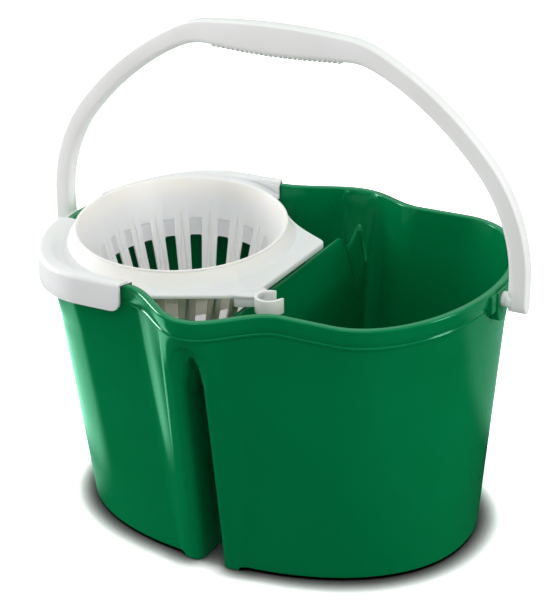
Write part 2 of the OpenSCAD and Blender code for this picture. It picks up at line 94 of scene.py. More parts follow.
class BucketSizes(bpy.types.PropertyGroup):
    """Sizes of the twin tub."""

    rim_l: length("Rim length", "Length over the rim", 420)
    rim_w: length("Rim width", "Width over the rim at the two lobes", 282)
    rim_h: length("Rim height", "Height of the rim above the floor", 255)
    bulge: length("Bulge", "How far each pouring bulge stands out", 34)
    bulge_l: length("Bulge length", "Length of a pouring bulge along the rim", 148)
    base_bulge: length("Base bulge", "How far each bulge stands out at the floor", 6)
    base_bulge_l: length("Base bulge length", "Length of a bulge at the floor", 64)
    rim_dip: length("Rim dip", "How far the rim dips at the bulges", 5)
    end_l: length("End length", "Length of each rounded end of the rim", 90)
    base_l: length("Base length", "Length over the two tubs at the floor", 372)
    base_w: length("Base width", "Width of the tubs at the floor", 264)
    wall: length("Wall", "Thickness of the moulded walls", 2.6)
    foot_h: length("Foot", "Height of the foot ring under each tub", 3)
    lip_w: length("Lip", "Width of the rim's top", 7)
    skirt_h: length("Skirt", "Height of the rim's band", 19)
    band_step: length("Band step", "How far the band's lower edge stands off the wall", 1.9)
    crest_h: length("Crest", "Height of the crest between the tubs", 218)
    slot_base: length("Gap at the floor", "Gap between the tubs at the floor", 21)
    slot_top: length("Gap at the crest", "Gap between the tubs at the crest", 17)
    corner_r: length("Corner", "Radius of the tubs' corners beside the gap", 12)
    scallop: length("Scallop", "Depth of the scallop near each end of the crest", 15)
    scallop_y: length("Scallop place", "Distance of a scallop from the axis", 139)
    pin_d: length("Pivot pin", "Diameter of the pivot pins", 13)
    pivot_drop: length("Pivot drop", "Drop of the pivots below the rim", 11)


class WringerSizes(bpy.types.PropertyGroup):
    """Sizes of the slotted funnel and its deck."""

    mouth_l: length("Mouth length", "Length of the funnel's mouth", 176)
    mouth_w: length("Mouth width", "Width of the funnel's mouth", 220)
    mouth_in: length("Mouth inset", "Distance of the mouth from the rim's end", 22)
    mouth_rise: length("Mouth rise", "Height of the mouth over the rim", 5)
    funnel_h: length("Funnel depth", "Depth of the funnel", 120)
    funnel_slope: share("Funnel slope", "How much the wall leans in, per unit of depth", 0.31)
    slot_count: number("Slots", "Number of drain slots", 22, 8, 40)
    slot_share: share("Slot share", "Share of each pitch that is open", 0.42)
    slot_from: length("Slot top", "Depth of the slots' upper ends", 52)
    collar_h: length("Collar", "Height of the collar above the deck", 13)
    lean: angle("Lean", "Slope of the deck toward the divider", 5.3)
    hook_h: length("Hook", "Height of the hooked skirts outside the rim", 24)
    notch_w: length("Notch", "Width of the notch for the handle", 70)
    shell: length("Shell", "Thickness of the moulding", 2.4)
    clip_d: length("Clip", "Diameter of the mop handle in the clip", 20.5)
    clip_t: length("Clip wall", "Thickness of the clip's wall", 2.6)
    clip_h: length("Clip height", "Height of the clip", 14)


class HandleSizes(bpy.types.PropertyGroup):
    """Sizes of the bail handle."""

    handle_top: length("Top", "Height of the grip's top above the floor", 454.5)
    arm_t: length("Arm depth", "Depth of an arm, along the bucket", 17)
    arm_w: length("Arm width", "Width of an arm, across the bucket", 13)
    grip_t: length("Grip depth", "Depth of the grip at its middle", 29)
    grip_w: length("Grip width", "Width of the grip", 16)
    grip_l: length("Grip length", "Length of the ribbed stretch", 125)
    rib_count: number("Ribs", "Number of ribs under the grip", 27, 5, 41)
    rib_h: length("Rib height", "Height of the ribs", 2.5)
    ear_gap: length("Ear gap", "Gap between an ear and the handle's arm", 5)


class PlasticLooks(bpy.types.PropertyGroup):
    """Colours and gloss of the mouldings."""

    green: tint("Green", "Colour of the tub", (0.0, 0.19, 0.06))
    green_deep: tint("Deep green", "Colour of the tub's darker clouds", (0.0, 0.175, 0.053))
    white: tint("White", "Colour of the wringer", (0.9, 0.885, 0.86))
    white_warm: tint("Warm white", "Colour of the wringer's clouds", (0.885, 0.868, 0.84))
    handle: tint("Handle white", "Colour of the handle", (0.95, 0.95, 0.945))
    handle_warm: tint("Handle warm", "Colour of the handle's clouds", (0.9, 0.9, 0.89))
    green_rough: share("Green roughness", "Roughness of the tub", 0.12)
    white_rough: share("White roughness", "Roughness of the white parts", 0.36)


class StageLooks(bpy.types.PropertyGroup):
    """Camera and floor."""

    camera_at: FloatVectorProperty(
        name="Camera", description="Place of the camera",
        default=(0.7468, -1.3708, 0.8815), unit="LENGTH", subtype="XYZ",
    )
    yaw: angle("Yaw", "Camera's turn round the object", 28.61)
    pitch: angle("Pitch", "Camera's height angle", 23.79)
    roll: angle("Roll", "Camera's roll", -0.87)
    lens: FloatProperty(name="Lens", description="Focal length", default=122.14, unit="CAMERA")
    floor: tint("Floor", "Colour of the floor", (0.6, 0.6, 0.6))


GROUPS = {
    "bucket_sizes": BucketSizes,
    "wringer_sizes": WringerSizes,
    "handle_sizes": HandleSizes,
    "bucket_looks": PlasticLooks,
    "bucket_stage": StageLooks,
}


def in_mm(group):
    """A group's values as plain numbers, with its lengths in mm."""
    values = {}
    for key, prop in group.bl_rna.properties.items():
        if key not in ("name", "rna_type"):
            value = getattr(group, key)
            values[key] = value / MM if prop.unit == "LENGTH" else value
    return SimpleNamespace(**values)


def lerp(a, b, t):
    return a + (b - a) * t


def clamp(t):
    return min(1.0, max(0.0, t))


def ease(t):
    return t * t * (3 - 2 * t)


def arch(t):
    return math.sqrt(max(0.0, 1 - t * t))


def between(p, q, t):
    return tuple(lerp(a, b, t) for a, b in zip(p, q))


def spread(a, b, n):
    """n + 1 even steps from a to b."""
    return [lerp(a, b, i / n) for i in range(n + 1)]


def quarter(n):
    """Sine and cosine at n + 1 even steps of a quarter turn."""
    return [(math.sin(a), math.cos(a)) for a in spread(0, math.pi / 2, n)]


def circle(x, y, r, n):
    """n points round a middle."""
    turns = [FULL_TURN * i / n for i in range(n)]
    return [(x + r * math.cos(a), y + r * math.sin(a)) for a in turns]


def beside(p, before, after, t):
    """A point moved to the left of the way from one neighbour to the next."""
    dx, dy = after[0] - before[0], after[1] - before[1]
    size = math.hypot(dx, dy)
    return p[0] - t * dy / size, p[1] + t * dx / size


def at_height(outline, z):
    """An outline in x and y, at a height."""
    return [(x, y, z) for x, y in outline]


def placed(name, data):
    """A new object in the scene for a mesh, a lamp or a camera."""
    obj = bpy.data.objects.new(name, data)
    bpy.context.scene.collection.objects.link(obj)
    return obj


class Shape:
    """Points and faces of one moulding, in mm."""

    bevel_steps = 3

    def __init__(self):
        self.points = []
        self.faces = []

    def add(self, points):
        first = len(self.points)
        self.points.extend(points)
        return first

    def grid(self, rows, closed=False, skip=None):
        n = len(rows[0])
        first = self.add([p for row in rows for p in row])
        for r in range(len(rows) - 1):
            for c in range(n if closed else n - 1):
                if skip is None or not skip(r, c):
                    a, b, d = first + r * n, first + r * n + n, (c + 1) % n
                    self.faces.append((a + c, a + d, b + d, b + c))

    def cap(self, row):
        first = self.add(row)
        self.faces.append(tuple(range(first, first + len(row))))

    def loft(self, rings):
        """Closed rings joined in order, with both ends capped."""
        self.grid(rings, closed=True)
        self.cap(rings[0])
        self.cap(rings[-1])

    def object(self, name, material, sharp=35.0, bevel=0.0):
        """The mesh in metres, merged, turned outward, smooth with its sharp edges kept."""
        limit = math.radians(sharp)
        bm = bmesh.new()
        verts = [bm.verts.new([c * MM for c in p]) for p in self.points]
        for face in self.faces:
            bm.faces.new([verts[i] for i in face])
        bmesh.ops.remove_doubles(bm, verts=bm.verts, dist=MERGE_GAP)
        bmesh.ops.dissolve_degenerate(bm, edges=bm.edges, dist=TINY_GAP)
        bmesh.ops.recalc_face_normals(bm, faces=bm.faces)
        if bevel:
            whole = [e for e in bm.edges if len(e.link_faces) == 2]
            bmesh.ops.bevel(
                bm, geom=[e for e in whole if e.calc_face_angle() > limit], offset=bevel * MM,
                segments=self.bevel_steps, profile=0.5, affect="EDGES", clamp_overlap=True,
            )
        mesh = bpy.data.meshes.new(name)
        bm.to_mesh(mesh)
        bm.free()
        for face in mesh.polygons:
            face.use_smooth = True
        mesh.set_sharp_from_angle(angle=limit)
        mesh.materials.append(material)
        return placed(name, mesh)


def joined(name, objects):
    """Several meshes as one object."""
    bm = bmesh.new()
    for obj in objects:
        bm.from_mesh(obj.data)
    mesh = bpy.data.meshes.new(name)
    bm.to_mesh(mesh)
    bm.free()
    mesh.materials.append(objects[0].data.materials[0])
    for obj in objects:
        bpy.data.meshes.remove(obj.data)
    return placed(name, mesh)


class Wire:
    """An output socket that can be used in sums."""

    def __init__(self, tree, socket):
        self.tree = tree
        self.socket = socket

    def part(self, name):
        return Wire(self.tree, self.socket.node.outputs[name])

    def __add__(self, other):
        return self.tree.maths("ADD", self, other)

    def __radd__(self, other):
        return self.tree.maths("ADD", other, self)

    def __sub__(self, other):
        return self.tree.maths("SUBTRACT", self, other)

    def __rsub__(self, other):
        return self.tree.maths("SUBTRACT", other, self)

    def __mul__(self, other):
        return self.tree.maths("MULTIPLY", self, other)

    def __rmul__(self, other):
        return self.tree.maths("MULTIPLY", other, self)

    def __truediv__(self, other):
        return self.tree.maths("DIVIDE", self, other)

    def __rtruediv__(self, other):
        return self.tree.maths("DIVIDE", other, self)

    def __pow__(self, other):
        return self.tree.maths("POWER", self, other)

    def __rpow__(self, other):
        return self.tree.maths("POWER", other, self)


class Tree:
    """A node tree: sums on its wires, and one way to add any other node."""

    def __init__(self, tree):
        self.tree = tree

    def node(self, kind, sockets=None, **settings):
        node = self.tree.nodes.new(kind)
        for key, value in settings.items():
            setattr(node, key, value)
        for key, value in (sockets or {}).items():
            self.feed(node, key, value)
        return Wire(self, node.outputs[0]) if node.outputs else node

    def feed(self, node, key, value):
        """Link a wire to a node's socket, or set the socket's value."""
        if isinstance(value, Wire):
            self.tree.links.new(value.socket, node.inputs[key])
        else:
            node.inputs[key].default_value = value

    def maths(self, operation, *values):
        return self.node("ShaderNodeMath", dict(enumerate(values)), operation=operation)

    def step(self, value, low, high, first=0.0, last=1.0, kind="SMOOTHSTEP"):
        ends = {0: value, 1: low, 2: high, 3: first, 4: last}
        return self.node("ShaderNodeMapRange", ends, interpolation_type=kind)

    def mix(self, factor, a, b):
        mixed = self.node("ShaderNodeMix", {0: factor, 6: a, 7: b}, data_type="RGBA")
        return Wire(self, mixed.socket.node.outputs[2])

    def axes(self, vector):
        """A vector's x, y and z."""
        parts = self.node("ShaderNodeSeparateXYZ", {0: vector})
        return [parts.part(axis) for axis in "XYZ"]

    def place(self, kind):
        """Coordinates on the surface or in the sky."""
        return self.node("ShaderNodeTexCoord").part(kind)


def colour4(colour):
    return (*colour, 1.0)


def plastic(name, colour, clouds, rough, gloss, grain, sheen=(1, 1, 1), depth=0.0):
    """A moulded plastic: faint clouds in its colour, uneven gloss and a fine grain."""
    material = bpy.data.materials.new(name)
    material.use_nodes = True
    material.diffuse_color = colour4(colour)
    tree = Tree(material.node_tree)
    place = tree.place("Object")

    def noise(scale, detail, roughness):
        sockets = {"Vector": place, "Scale": scale, "Detail": detail, "Roughness": roughness}
        return tree.node("ShaderNodeTexNoise", sockets)

    cloud, smear, fine = noise(9.0, 3.0, 0.5), noise(60.0, 4.0, 0.6), noise(1300.0, 2.0, 0.5)
    mask = tree.step(cloud, 0.35, 0.65, kind="LINEAR")
    relief = {"Strength": grain, "Distance": 0.4 * MM, "Height": fine + 0.4 * smear}
    sockets = {
        "Base Color": tree.mix(mask, colour4(colour), colour4(clouds)),
        "Roughness": rough + 0.06 * (smear - 0.5),
        "Normal": tree.node("ShaderNodeBump", relief),
        "Specular IOR Level": gloss,
        "Specular Tint": colour4(sheen),
        "Subsurface Weight": depth,
        "Subsurface Radius": (1.0, 0.8, 0.5),
        "Subsurface Scale": 8 * MM,
    }
    for key, value in sockets.items():
        tree.feed(material.node_tree.nodes["Principled BSDF"], key, value)
    return material


class TubForm:
    """The rule of the twin tub: an oval floor that opens into two lobes with a bulge between."""

    arc_n, corner_n, side_n, cross_n, crease_n = 192, 14, 96, 18, 4
    base_n = 2.17
    floor_r, lip_r = 7.0, 1.8
    crease_x, crease_share, flank_power, soft_from = 28.0, 0.42, 1.7, 0.84
    spring_drop, apex_rise, apex_lean = 23.0, 28.0, 0.29
    ridge_rise, ridge_round, ridge_run = 35.0, 0.45, 1.2
    crest_over, roof_under, fin_rise = 2.0, 3.0, 1.0
    bow_loss, bow_fade = 0.3, 5.28
    scallop_l = 20.0
    foot_r = 1.2
    ear_wall, ear_below_lip, ear_sunk = 4.5, 2.6, 2.5
    pad_share, pad_drop, pad_reach = 1.9, 8.0, 1.0
    tongue_drop, tongue_reach, tongue_n = 9.0, 2.5, 24
    outer_shares = (0.02, 0.08, 0.16, 0.27, 0.4, 0.54, 0.68, 0.8, 0.9, 0.97)
    inner_shares = (0.03, 0.12, 0.3, 0.5, 0.7, 0.85, 0.95)
    upper_shares = (0, 0.05, 0.25, 0.5, 0.75, 0.95)
    bead = (
        (-1.2, 0), (-0.75, 0.15), (-0.35, 0.45), (-0.1, 0.9), (0.05, 1.4),
        (0, 1.9), (-0.2, 2.4), (-0.45, 2.8), (-0.55, 3.3),
    )

    def __init__(self, sizes):
        self.s = sizes
        self.rim_a, self.rim_b = sizes.rim_l / 2, sizes.rim_w / 2
        self.over = sizes.lip_w - sizes.wall
        self.end_x = self.rim_a - sizes.end_l
        self.fin_h = sizes.crest_h + self.fin_rise
        self.spring_h = sizes.crest_h - self.spring_drop
        self.floor_t = sizes.foot_h + sizes.wall
        self.loop_n = self.arc_n + 2 * self.corner_n + self.side_n
        self.seam_n = self.loop_n - self.arc_n + 1
        self.half_n = self.arc_n + self.cross_n
        self.ring_n = 2 * self.half_n

    def bump(self, x, l):
        return math.cos(math.pi * x / l) ** 2 if abs(x) < l / 2 else 0.0

    def base_y(self, x):
        inside = max(0.0, 1 - (abs(x) / (self.s.base_l / 2)) ** self.base_n)
        return self.s.base_w / 2 * inside ** (1 / self.base_n)

    def lobe_y(self, x, off):
        b, past = self.rim_b + off, abs(x) - self.end_x
        return b * arch(past / (self.s.end_l + off)) if past > 0 else b

    def rim_y(self, x, off=0.0):
        return self.lobe_y(x, off) + self.s.bulge * self.bump(x, self.s.bulge_l)

    def half_l(self, z):
        return lerp(self.s.base_l / 2, self.rim_a - self.over, z / self.s.rim_h)

    def wall_y(self, x, z):
        u, t = min(1.0, abs(x) / self.half_l(z)), z / self.s.rim_h
        top = self.lobe_y(u * (self.rim_a - self.over), -self.over)
        return lerp(self.base_y(u * self.s.base_l / 2), top, t) + self.spout(x, t)

    def spout(self, x, t):
        """The bulge's reach: a rounded front, a crease and a flank that fades into the lobe."""
        l, c = lerp(self.s.base_bulge_l, self.s.bulge_l, t), self.crease_x
        soft, low = self.bump(x, l), self.bump(c, l)
        high = lerp(low, 1, self.crease_share)
        crisp = high + (soft - low) * (1 - high) / (1 - low)
        if abs(x) > c:
            left = max(0.0, (l / 2 - abs(x)) / (l / 2 - c))
            crisp = high * left ** lerp(1.0, self.flank_power, t)
        mellow = ease(clamp((t - self.soft_from) / (1 - self.soft_from)))
        return lerp(self.s.base_bulge, self.s.bulge, t) * lerp(crisp, soft, mellow)

    def rim_z(self, x):
        return self.s.rim_h - self.s.rim_dip * self.bump(x, self.s.bulge_l)

    def slot_x(self, z):
        return lerp(self.s.slot_base, self.s.slot_top, z / self.s.crest_h) / 2

    def arc_pt(self, i, z):
        """A point of the outer wall: even columns up to the crease, then turns round the lobe."""
        a, half = self.half_l(z), self.arc_n // 2
        k = min(i, self.arc_n - i)
        if k < self.crease_n:
            x = lerp(self.slot_x(z) + self.s.corner_r, self.crease_x, k / self.crease_n)
        else:
            start = math.asin((self.crease_x / a) ** (self.base_n / 2))
            turn = lerp(start, math.pi / 2, (k - self.crease_n) / (half - self.crease_n))
            x = a * math.sin(turn) ** (2 / self.base_n)
        return x, (-1 if i <= half else 1) * self.wall_y(x, z)

    def corner_pt(self, t, z):
        x, r = self.slot_x(z), self.s.corner_r
        far = self.wall_y(x, z)
        p, c, q = (x + r, self.wall_y(x + r, z)), (x, far), (x, far - r)
        return tuple((1 - t) ** 2 * p[i] + 2 * t * (1 - t) * c[i] + t * t * q[i] for i in (0, 1))

    def side_pt(self, t, z):
        x = self.slot_x(z)
        return x, (self.wall_y(x, z) - self.s.corner_r) * math.cos(math.pi * t)

    def tub_pt(self, k, z):
        """A point round one tub: its outer wall, a corner, the side by the gap, a corner."""
        n = k % self.loop_n
        back = n - self.arc_n
        side = back - self.corner_n
        front = side - self.side_n
        if back <= 0:
            return self.arc_pt(n, z)
        if side <= 0:
            return self.corner_pt(back / self.corner_n, z)
        if front <= 0:
            return self.side_pt(side / self.side_n, z)
        x, y = self.corner_pt(1 - front / self.corner_n, z)
        return x, -y

    def inset_pt(self, k, z, t):
        p = self.tub_pt(k, z)
        if t:
            p = beside(p, self.tub_pt(k - 1, z), self.tub_pt(k + 1, z), t)
        return (*p, z)

    def tub_row(self, z, t):
        return [self.inset_pt(k, z, t) for k in range(self.loop_n)]

    def across(self, m):
        """The share across the gap, from 1 at one tub to -1 at the other."""
        return 1 - 2 * m / self.cross_n

    def over_pt(self, m, side, z):
        x = (self.slot_x(z) + self.s.corner_r) * self.across(m)
        return side * x, side * self.wall_y(x, z)

    def ring_pt(self, q, z):
        """A point round both tubs and the gap's two ends."""
        n = q % self.ring_n
        i = n % self.half_n
        x, y = self.arc_pt(i, z) if i <= self.arc_n else self.over_pt(i - self.arc_n, 1, z)
        return (-x, -y) if n >= self.half_n else (x, y)

    def ring_out(self, q, z, t):
        return beside(self.ring_pt(q, z), self.ring_pt(q - 1, z), self.ring_pt(q + 1, z), -t)

    def rim_pt(self, q, t, down):
        h = self.s.rim_h
        return (*self.ring_out(q, h, t), self.rim_z(self.ring_pt(q, h)[0]) - down)

    def rim_row(self, t, down):
        return [self.rim_pt(q, t, down) for q in range(self.ring_n)]

    def crest_z(self, y):
        t = (abs(y) - self.s.scallop_y) / self.scallop_l
        dip = math.cos(math.pi / 2 * t) ** 2 if abs(t) < 1 else 0.0
        return lerp(self.s.crest_h, self.fin_h, clamp(t)) - self.s.scallop * dip

    def seam_step(self, e):
        return min(e, self.seam_n - 1 - e)

    def seam_y(self, e):
        return self.side_pt(clamp((e - self.corner_n) / self.side_n), self.s.crest_h)[1]

    def seam_top(self, e, end, drop):
        """Height of a tub's upper edge beside the gap, which leads from its end to the crest."""
        s = self.seam_step(e)
        if s >= self.corner_n:
            return self.crest_z(self.seam_y(e)) - drop
        fin = self.crest_z(self.side_pt(0, self.s.crest_h)[1]) - drop
        return lerp(end, fin, ease(s / self.corner_n))

    def seam_k(self, e):
        return (self.arc_n + e) % self.loop_n

    def outer_seam(self, e):
        top = self.seam_top(e, self.spring_h, self.ridge_rise + self.s.wall)
        return self.inset_pt(self.seam_k(e), top, 0)

    def spring_pt(self, m, side):
        t = arch(self.across(m))
        p = self.over_pt(m, side, self.spring_h)
        q = self.over_pt(m, side, self.spring_h + self.apex_rise)
        return (*between(p, q, t), self.spring_h + self.apex_rise * t)

    def inner_over(self, m, side):
        q = self.arc_n + m if side > 0 else self.arc_n + self.half_n + m
        return self.rim_pt(q, -self.s.wall, self.lip_r)

    def inner_seam(self, e):
        if e == 0:
            return self.inner_over(0, 1)
        if e == self.seam_n - 1:
            return self.inner_over(self.cross_n, -1)
        top = self.seam_top(e, self.rim_z(0) - self.lip_r, self.ridge_rise)
        return self.inset_pt(self.seam_k(e), top, self.s.wall)

    def end_row(self, point, back):
        """A row over one end of the gap, from one tub to the other."""
        steps = range(self.cross_n + 1)
        return [point(m, 1) for m in steps] if not back else [point(m, -1) for m in steps[::-1]]

    def cross_row(self, p, rise, bow, shape):
        """A row from a tub's edge over to the other tub's."""
        row = []
        for m in range(self.cross_n + 1):
            t = self.across(m)
            row.append((p[0] * t, p[1] + bow * (1 - t * t), p[2] + rise * shape(t)))
        return row

    def gable(self, t):
        """A roof's outline with a rounded ridge: 1 in the middle and 0 at both eaves."""
        eaves = math.hypot(1, self.ridge_round)
        return (eaves - math.hypot(t, self.ridge_round)) / (eaves - self.ridge_round)

    def roof_row(self, e):
        """The underside over the gap, arched at its two ends."""
        last = self.seam_n - 1
        if e in (0, last):
            return self.end_row(self.spring_pt, e == last)
        left = (1 - clamp(self.seam_step(e) / self.corner_n)) ** 2
        rise = lerp(self.ridge_rise - self.roof_under, self.apex_rise, left)

        def pointed(t):
            return lerp(self.gable(t), arch(t), left)

        row = self.cross_row(self.outer_seam(e), rise, 0, pointed)
        edge = self.end_row(self.spring_pt, e > last / 2)
        lean = math.copysign(self.apex_lean * self.apex_rise * left * (1 - left), edge[0][1])
        for m, (x, y, z) in enumerate(row):
            bow = edge[m][1] - edge[0][1] - lean * arch(self.across(m))
            row[m] = (x, y + bow * left, z)
        return row

    def crest_row(self, e):
        """The divider's ridge inside the bucket."""
        last = self.seam_n - 1
        if e in (0, last):
            return self.end_row(self.inner_over, e == last)
        p = self.inner_seam(e)
        s = self.seam_step(e)
        u = s / self.corner_n
        far = math.copysign(self.wall_y(0, p[2]) - self.s.wall, p[1])
        part = 1 - self.bow_loss * min(u, 1)
        part = clamp(part - self.bow_fade * max(0, s - self.corner_n) / self.side_n)
        rise = (self.ridge_rise + self.crest_over) * clamp(u / self.ridge_run)
        return self.cross_row(p, rise, (far - p[1]) * part, self.gable)

    def top_row(self, inner):
        row = []
        for k in range(self.loop_n):
            e = self.seam_n - 1 if k == 0 else k - self.arc_n
            if e >= 0:
                row.append(self.inner_seam(e) if inner else self.outer_seam(e))
            elif inner:
                row.append(self.rim_pt(k, -self.s.wall, self.lip_r))
            else:
                row.append(self.inset_pt(k, self.spring_h, 0))
        return row

    def risen(self, low, t, top, shares):
        """Rows up a tub's wall, from a height to its upper edge."""
        rows = []
        for f in shares:
            rows.append([self.inset_pt(k, lerp(low, p[2], f), t) for k, p in enumerate(top)])
        return rows + [top]

    def outer_rows(self):
        """A tub's outside: a stepped foot under the lobe, a plain one under the bulge."""
        h = self.s.foot_h
        start = h + self.foot_r
        lobe = [(0, 5.6), (0.5, 5.1), (h - 0.3, 4.7), (h, 4.4), (h, 0.8)]
        lobe += [(h + 0.12, 0.35), (h + 0.4, 0.08), (start, 0)]
        spout = [(0, 2), (0, 1), (0.15, 0.5), (0.4, 0.2), (0.8, 0.05), (1.5, 0), (2.8, 0)]
        spout += [(start, 0)]
        plain = [abs(self.tub_pt(k, 0)[0]) < self.crease_x - 0.1 for k in range(self.loop_n)]
        rows = []
        for a, b in zip(lobe, spout):
            rows.append([self.inset_pt(k, *(b if plain[k] else a)) for k in range(self.loop_n)])
        return rows + self.risen(start, 0, self.top_row(False), self.outer_shares)

    def inner_rows(self):
        """A tub's inside, with a rounded floor edge."""
        w, r, low = self.s.wall, self.floor_r, self.floor_t
        rows = [self.tub_row(low + r * (1 - c), w + r * (1 - s)) for s, c in quarter(8)]
        return rows + self.risen(low + r, w, self.top_row(True), self.inner_shares)

    def spring_row(self):
        row = []
        for q in range(self.ring_n):
            i, front = q % self.half_n, q < self.half_n
            if i > self.arc_n:
                row.append(self.spring_pt(i - self.arc_n, 1 if front else -1))
            else:
                x, y, z = self.inset_pt(i, self.spring_h, 0)
                row.append((x, y, z) if front else (-x, -y, z))
        return row

    def rim_rows(self):
        """The outer wall above the gap, the band with its bead, and the rounded lip."""
        r, step, edge, wall = self.lip_r, self.s.band_step, self.s.skirt_h, self.s.wall
        spring = self.spring_row()
        band = [(0, edge + 0.6), (0.05, edge + 0.1), (0.2, edge)]
        low = self.rim_row(*band[0])
        rows = [[between(p, q, f) for p, q in zip(spring, low)] for f in self.upper_shares]
        band += [(step + out, edge - up) for out, up in self.bead]
        band += [(lerp(step, self.over, f), lerp(edge, r, f)) for f in (0.3, 0.6, 0.9)]
        band += [(self.over - r * (1 - c), r * (1 - s)) for s, c in quarter(5)]
        band.append((0.5 * (self.over - wall), 0))
        band += [(r - wall - r * s, r * (1 - c)) for s, c in quarter(5)]
        return rows + [self.rim_row(t, down) for t, down in band]

    def shell(self):
        shape = Shape()
        for rows in (self.outer_rows(), self.inner_rows()):
            for side in (rows, [[(-x, y, z) for x, y, z in row] for row in rows]):
                shape.grid(side, closed=True)
                shape.cap(side[0])
        shape.grid(self.rim_rows(), closed=True)
        for strip in (self.roof_row, self.crest_row):
            shape.grid([strip(e) for e in range(self.seam_n)])
        return shape

    def ears(self, side):
        """A wide pad and a round tongue that carry one pivot, each drawn out along x."""
        r, top = self.s.pin_d / 2 + self.ear_wall, self.s.rim_h - self.ear_below_lip
        pivot_z = self.s.rim_h - self.s.pivot_drop
        w, low, middle = self.pad_share * r, pivot_z - self.pad_drop, pivot_z - self.tongue_drop
        pad = [(-w, low), (w, low), (w, top), (-w, top)]
        turns = spread(math.pi, FULL_TURN, self.tongue_n)
        tongue = [(r * math.cos(a), middle + r * math.sin(a)) for a in turns]
        tongue += [(r, top), (-r, top)]
        start = self.rim_a - self.over - self.ear_sunk
        shapes = []
        for outline, reach in ((pad, self.pad_reach), (tongue, self.tongue_reach)):
            shape = Shape()
            ends = (start, self.rim_a + reach)
            shape.loft([[(side * x, y, z) for y, z in outline] for x in ends])
            shapes.append(shape)
        return shapes


class BucketOperator(bpy.types.Operator):
    """Make the green twin tub with its pivot ears"""

    bl_idname = "mesh.twin_tub"
    bl_label = "Twin tub"

    sheen = (0.3, 1.0, 0.7)
    pad_bevel, tongue_bevel = 0.9, 0.8

    def execute(self, context):
        looks = context.scene.bucket_looks
        green = plastic(
            "tub_green", looks.green, looks.green_deep, looks.green_rough, 0.45, 0.04, self.sheen
        )
        form = TubForm(in_mm(context.scene.bucket_sizes))
        parts = [form.shell().object("tub_shell", green, sharp=38)]
        for side in (1, -1):
            pad, tongue = form.ears(side)
            parts.append(pad.object("pad", green, bevel=self.pad_bevel))
            parts.append(tongue.object("tongue", green, bevel=self.tongue_bevel))
        tub = joined("tub", parts)
        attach(tub, "bucket")
        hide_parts("bucket")
        return {"FINISHED"}


class BailForm:
    """The rule of the handle: arcs from the grip's middle down to each arm."""

    arcs = ((700, 5.7, 10), (80, 20.3, 14), (310, 24, 24), (155, 40, 30))
    arm_run = 20.0
    edge_r, belly_r = 1.7, 5.5
    tips = (
        (15, 1), (8, 1), (3, 1), (-1, 0.985), (-3, 0.95), (-5, 0.88),
        (-7, 0.75), (-8.5, 0.6), (-9.5, 0.42), (-10, 0.22),
    )

    def __init__(self, sizes, pivot_z, arm_in):
        self.s = sizes
        self.pivot_z = pivot_z
        self.reach = arm_in + sizes.arm_t
        self.ends = [(0.0, 0.0)]
        self.turns = [0.0]
        for i, (_, turn, _) in enumerate(self.arcs):
            self.turns.append(self.turns[-1] + math.radians(turn))
            self.ends.append(self.along(i, self.turns[-1]))
        self.kx = self.reach / self.ends[-1][0]
        self.kz = (sizes.handle_top - pivot_z - self.arm_run) / self.ends[-1][1]

    def along(self, i, a):
        """A place on an arc, before the handle is scaled to its size."""
        radius, start, (x, y) = self.arcs[i][0], self.turns[i], self.ends[i]
        x += radius * (math.sin(a) - math.sin(start))
        return x, y + radius * (math.cos(start) - math.cos(a))

    def place(self, i, a):
        x, y = self.along(i, a)
        return x * self.kx, self.s.handle_top - y * self.kz

    def inward(self, a):
        x, z = -math.sin(a) * self.kz, -math.cos(a) * self.kx
        size = math.hypot(x, z)
        return x / size, z / size

    def path(self):
        """Half of the handle: places on its outer edge, the way inward and a width factor."""
        steps = []
        for i, (_, _, n) in enumerate(self.arcs):
            for a in spread(self.turns[i], self.turns[i + 1], n)[1 if i else 0:]:
                steps.append((self.place(i, a), self.inward(a), 1.0))
        for down, width in self.tips:
            steps.append(((self.reach, self.pivot_z + down), (-1.0, 0.0), width))
        return steps

    def grip_at(self, x):
        return math.cos(math.pi / 2 * x / self.s.grip_l) ** 2 if abs(x) < self.s.grip_l else 0.0

    def section(self, step, side):
        (x, z), (ix, iz), width = step
        swell = self.grip_at(x)
        t = lerp(self.s.arm_t, self.s.grip_t - self.s.rib_h, swell)
        w = lerp(self.s.arm_w, self.s.grip_w, swell) / 2 * width
        c, r = min(self.edge_r, w * 0.6), min(self.belly_r, w * 0.8)
        ring = [(w - c + c * sine, c - c * cosine) for sine, cosine in quarter(4)]
        ring += [(w - r + r * cosine, t - r + r * sine) for sine, cosine in quarter(7)]
        ring += [(-y, d) for y, d in reversed(ring)]
        return [(side * (x + ix * d), y, z + iz * d) for y, d in ring]

    def shape(self):
        shape = Shape()
        steps = self.path()
        left = [self.section(s, -1) for s in reversed(steps[1:])]
        shape.loft(left + [self.section(s, 1) for s in steps])
        return shape


def tree_group(name, inputs):
    """An empty Geometry Nodes group with named inputs, its wires and their identifiers."""
    group = bpy.data.node_groups.new(name, "GeometryNodeTree")
    face = group.interface
    face.new_socket(name="Geometry", in_out="OUTPUT", socket_type="NodeSocketGeometry")
    kinds = {int: "NodeSocketInt", float: "NodeSocketFloat"}
    marks = {}
    for key, value in inputs.items():
        kind = kinds.get(type(value), "NodeSocketMaterial")
        marks[key] = face.new_socket(name=key, in_out="INPUT", socket_type=kind).identifier
    tree = Tree(group)
    entry = tree.node("NodeGroupInput")
    return group, tree, {key: entry.part(key) for key in inputs}, marks


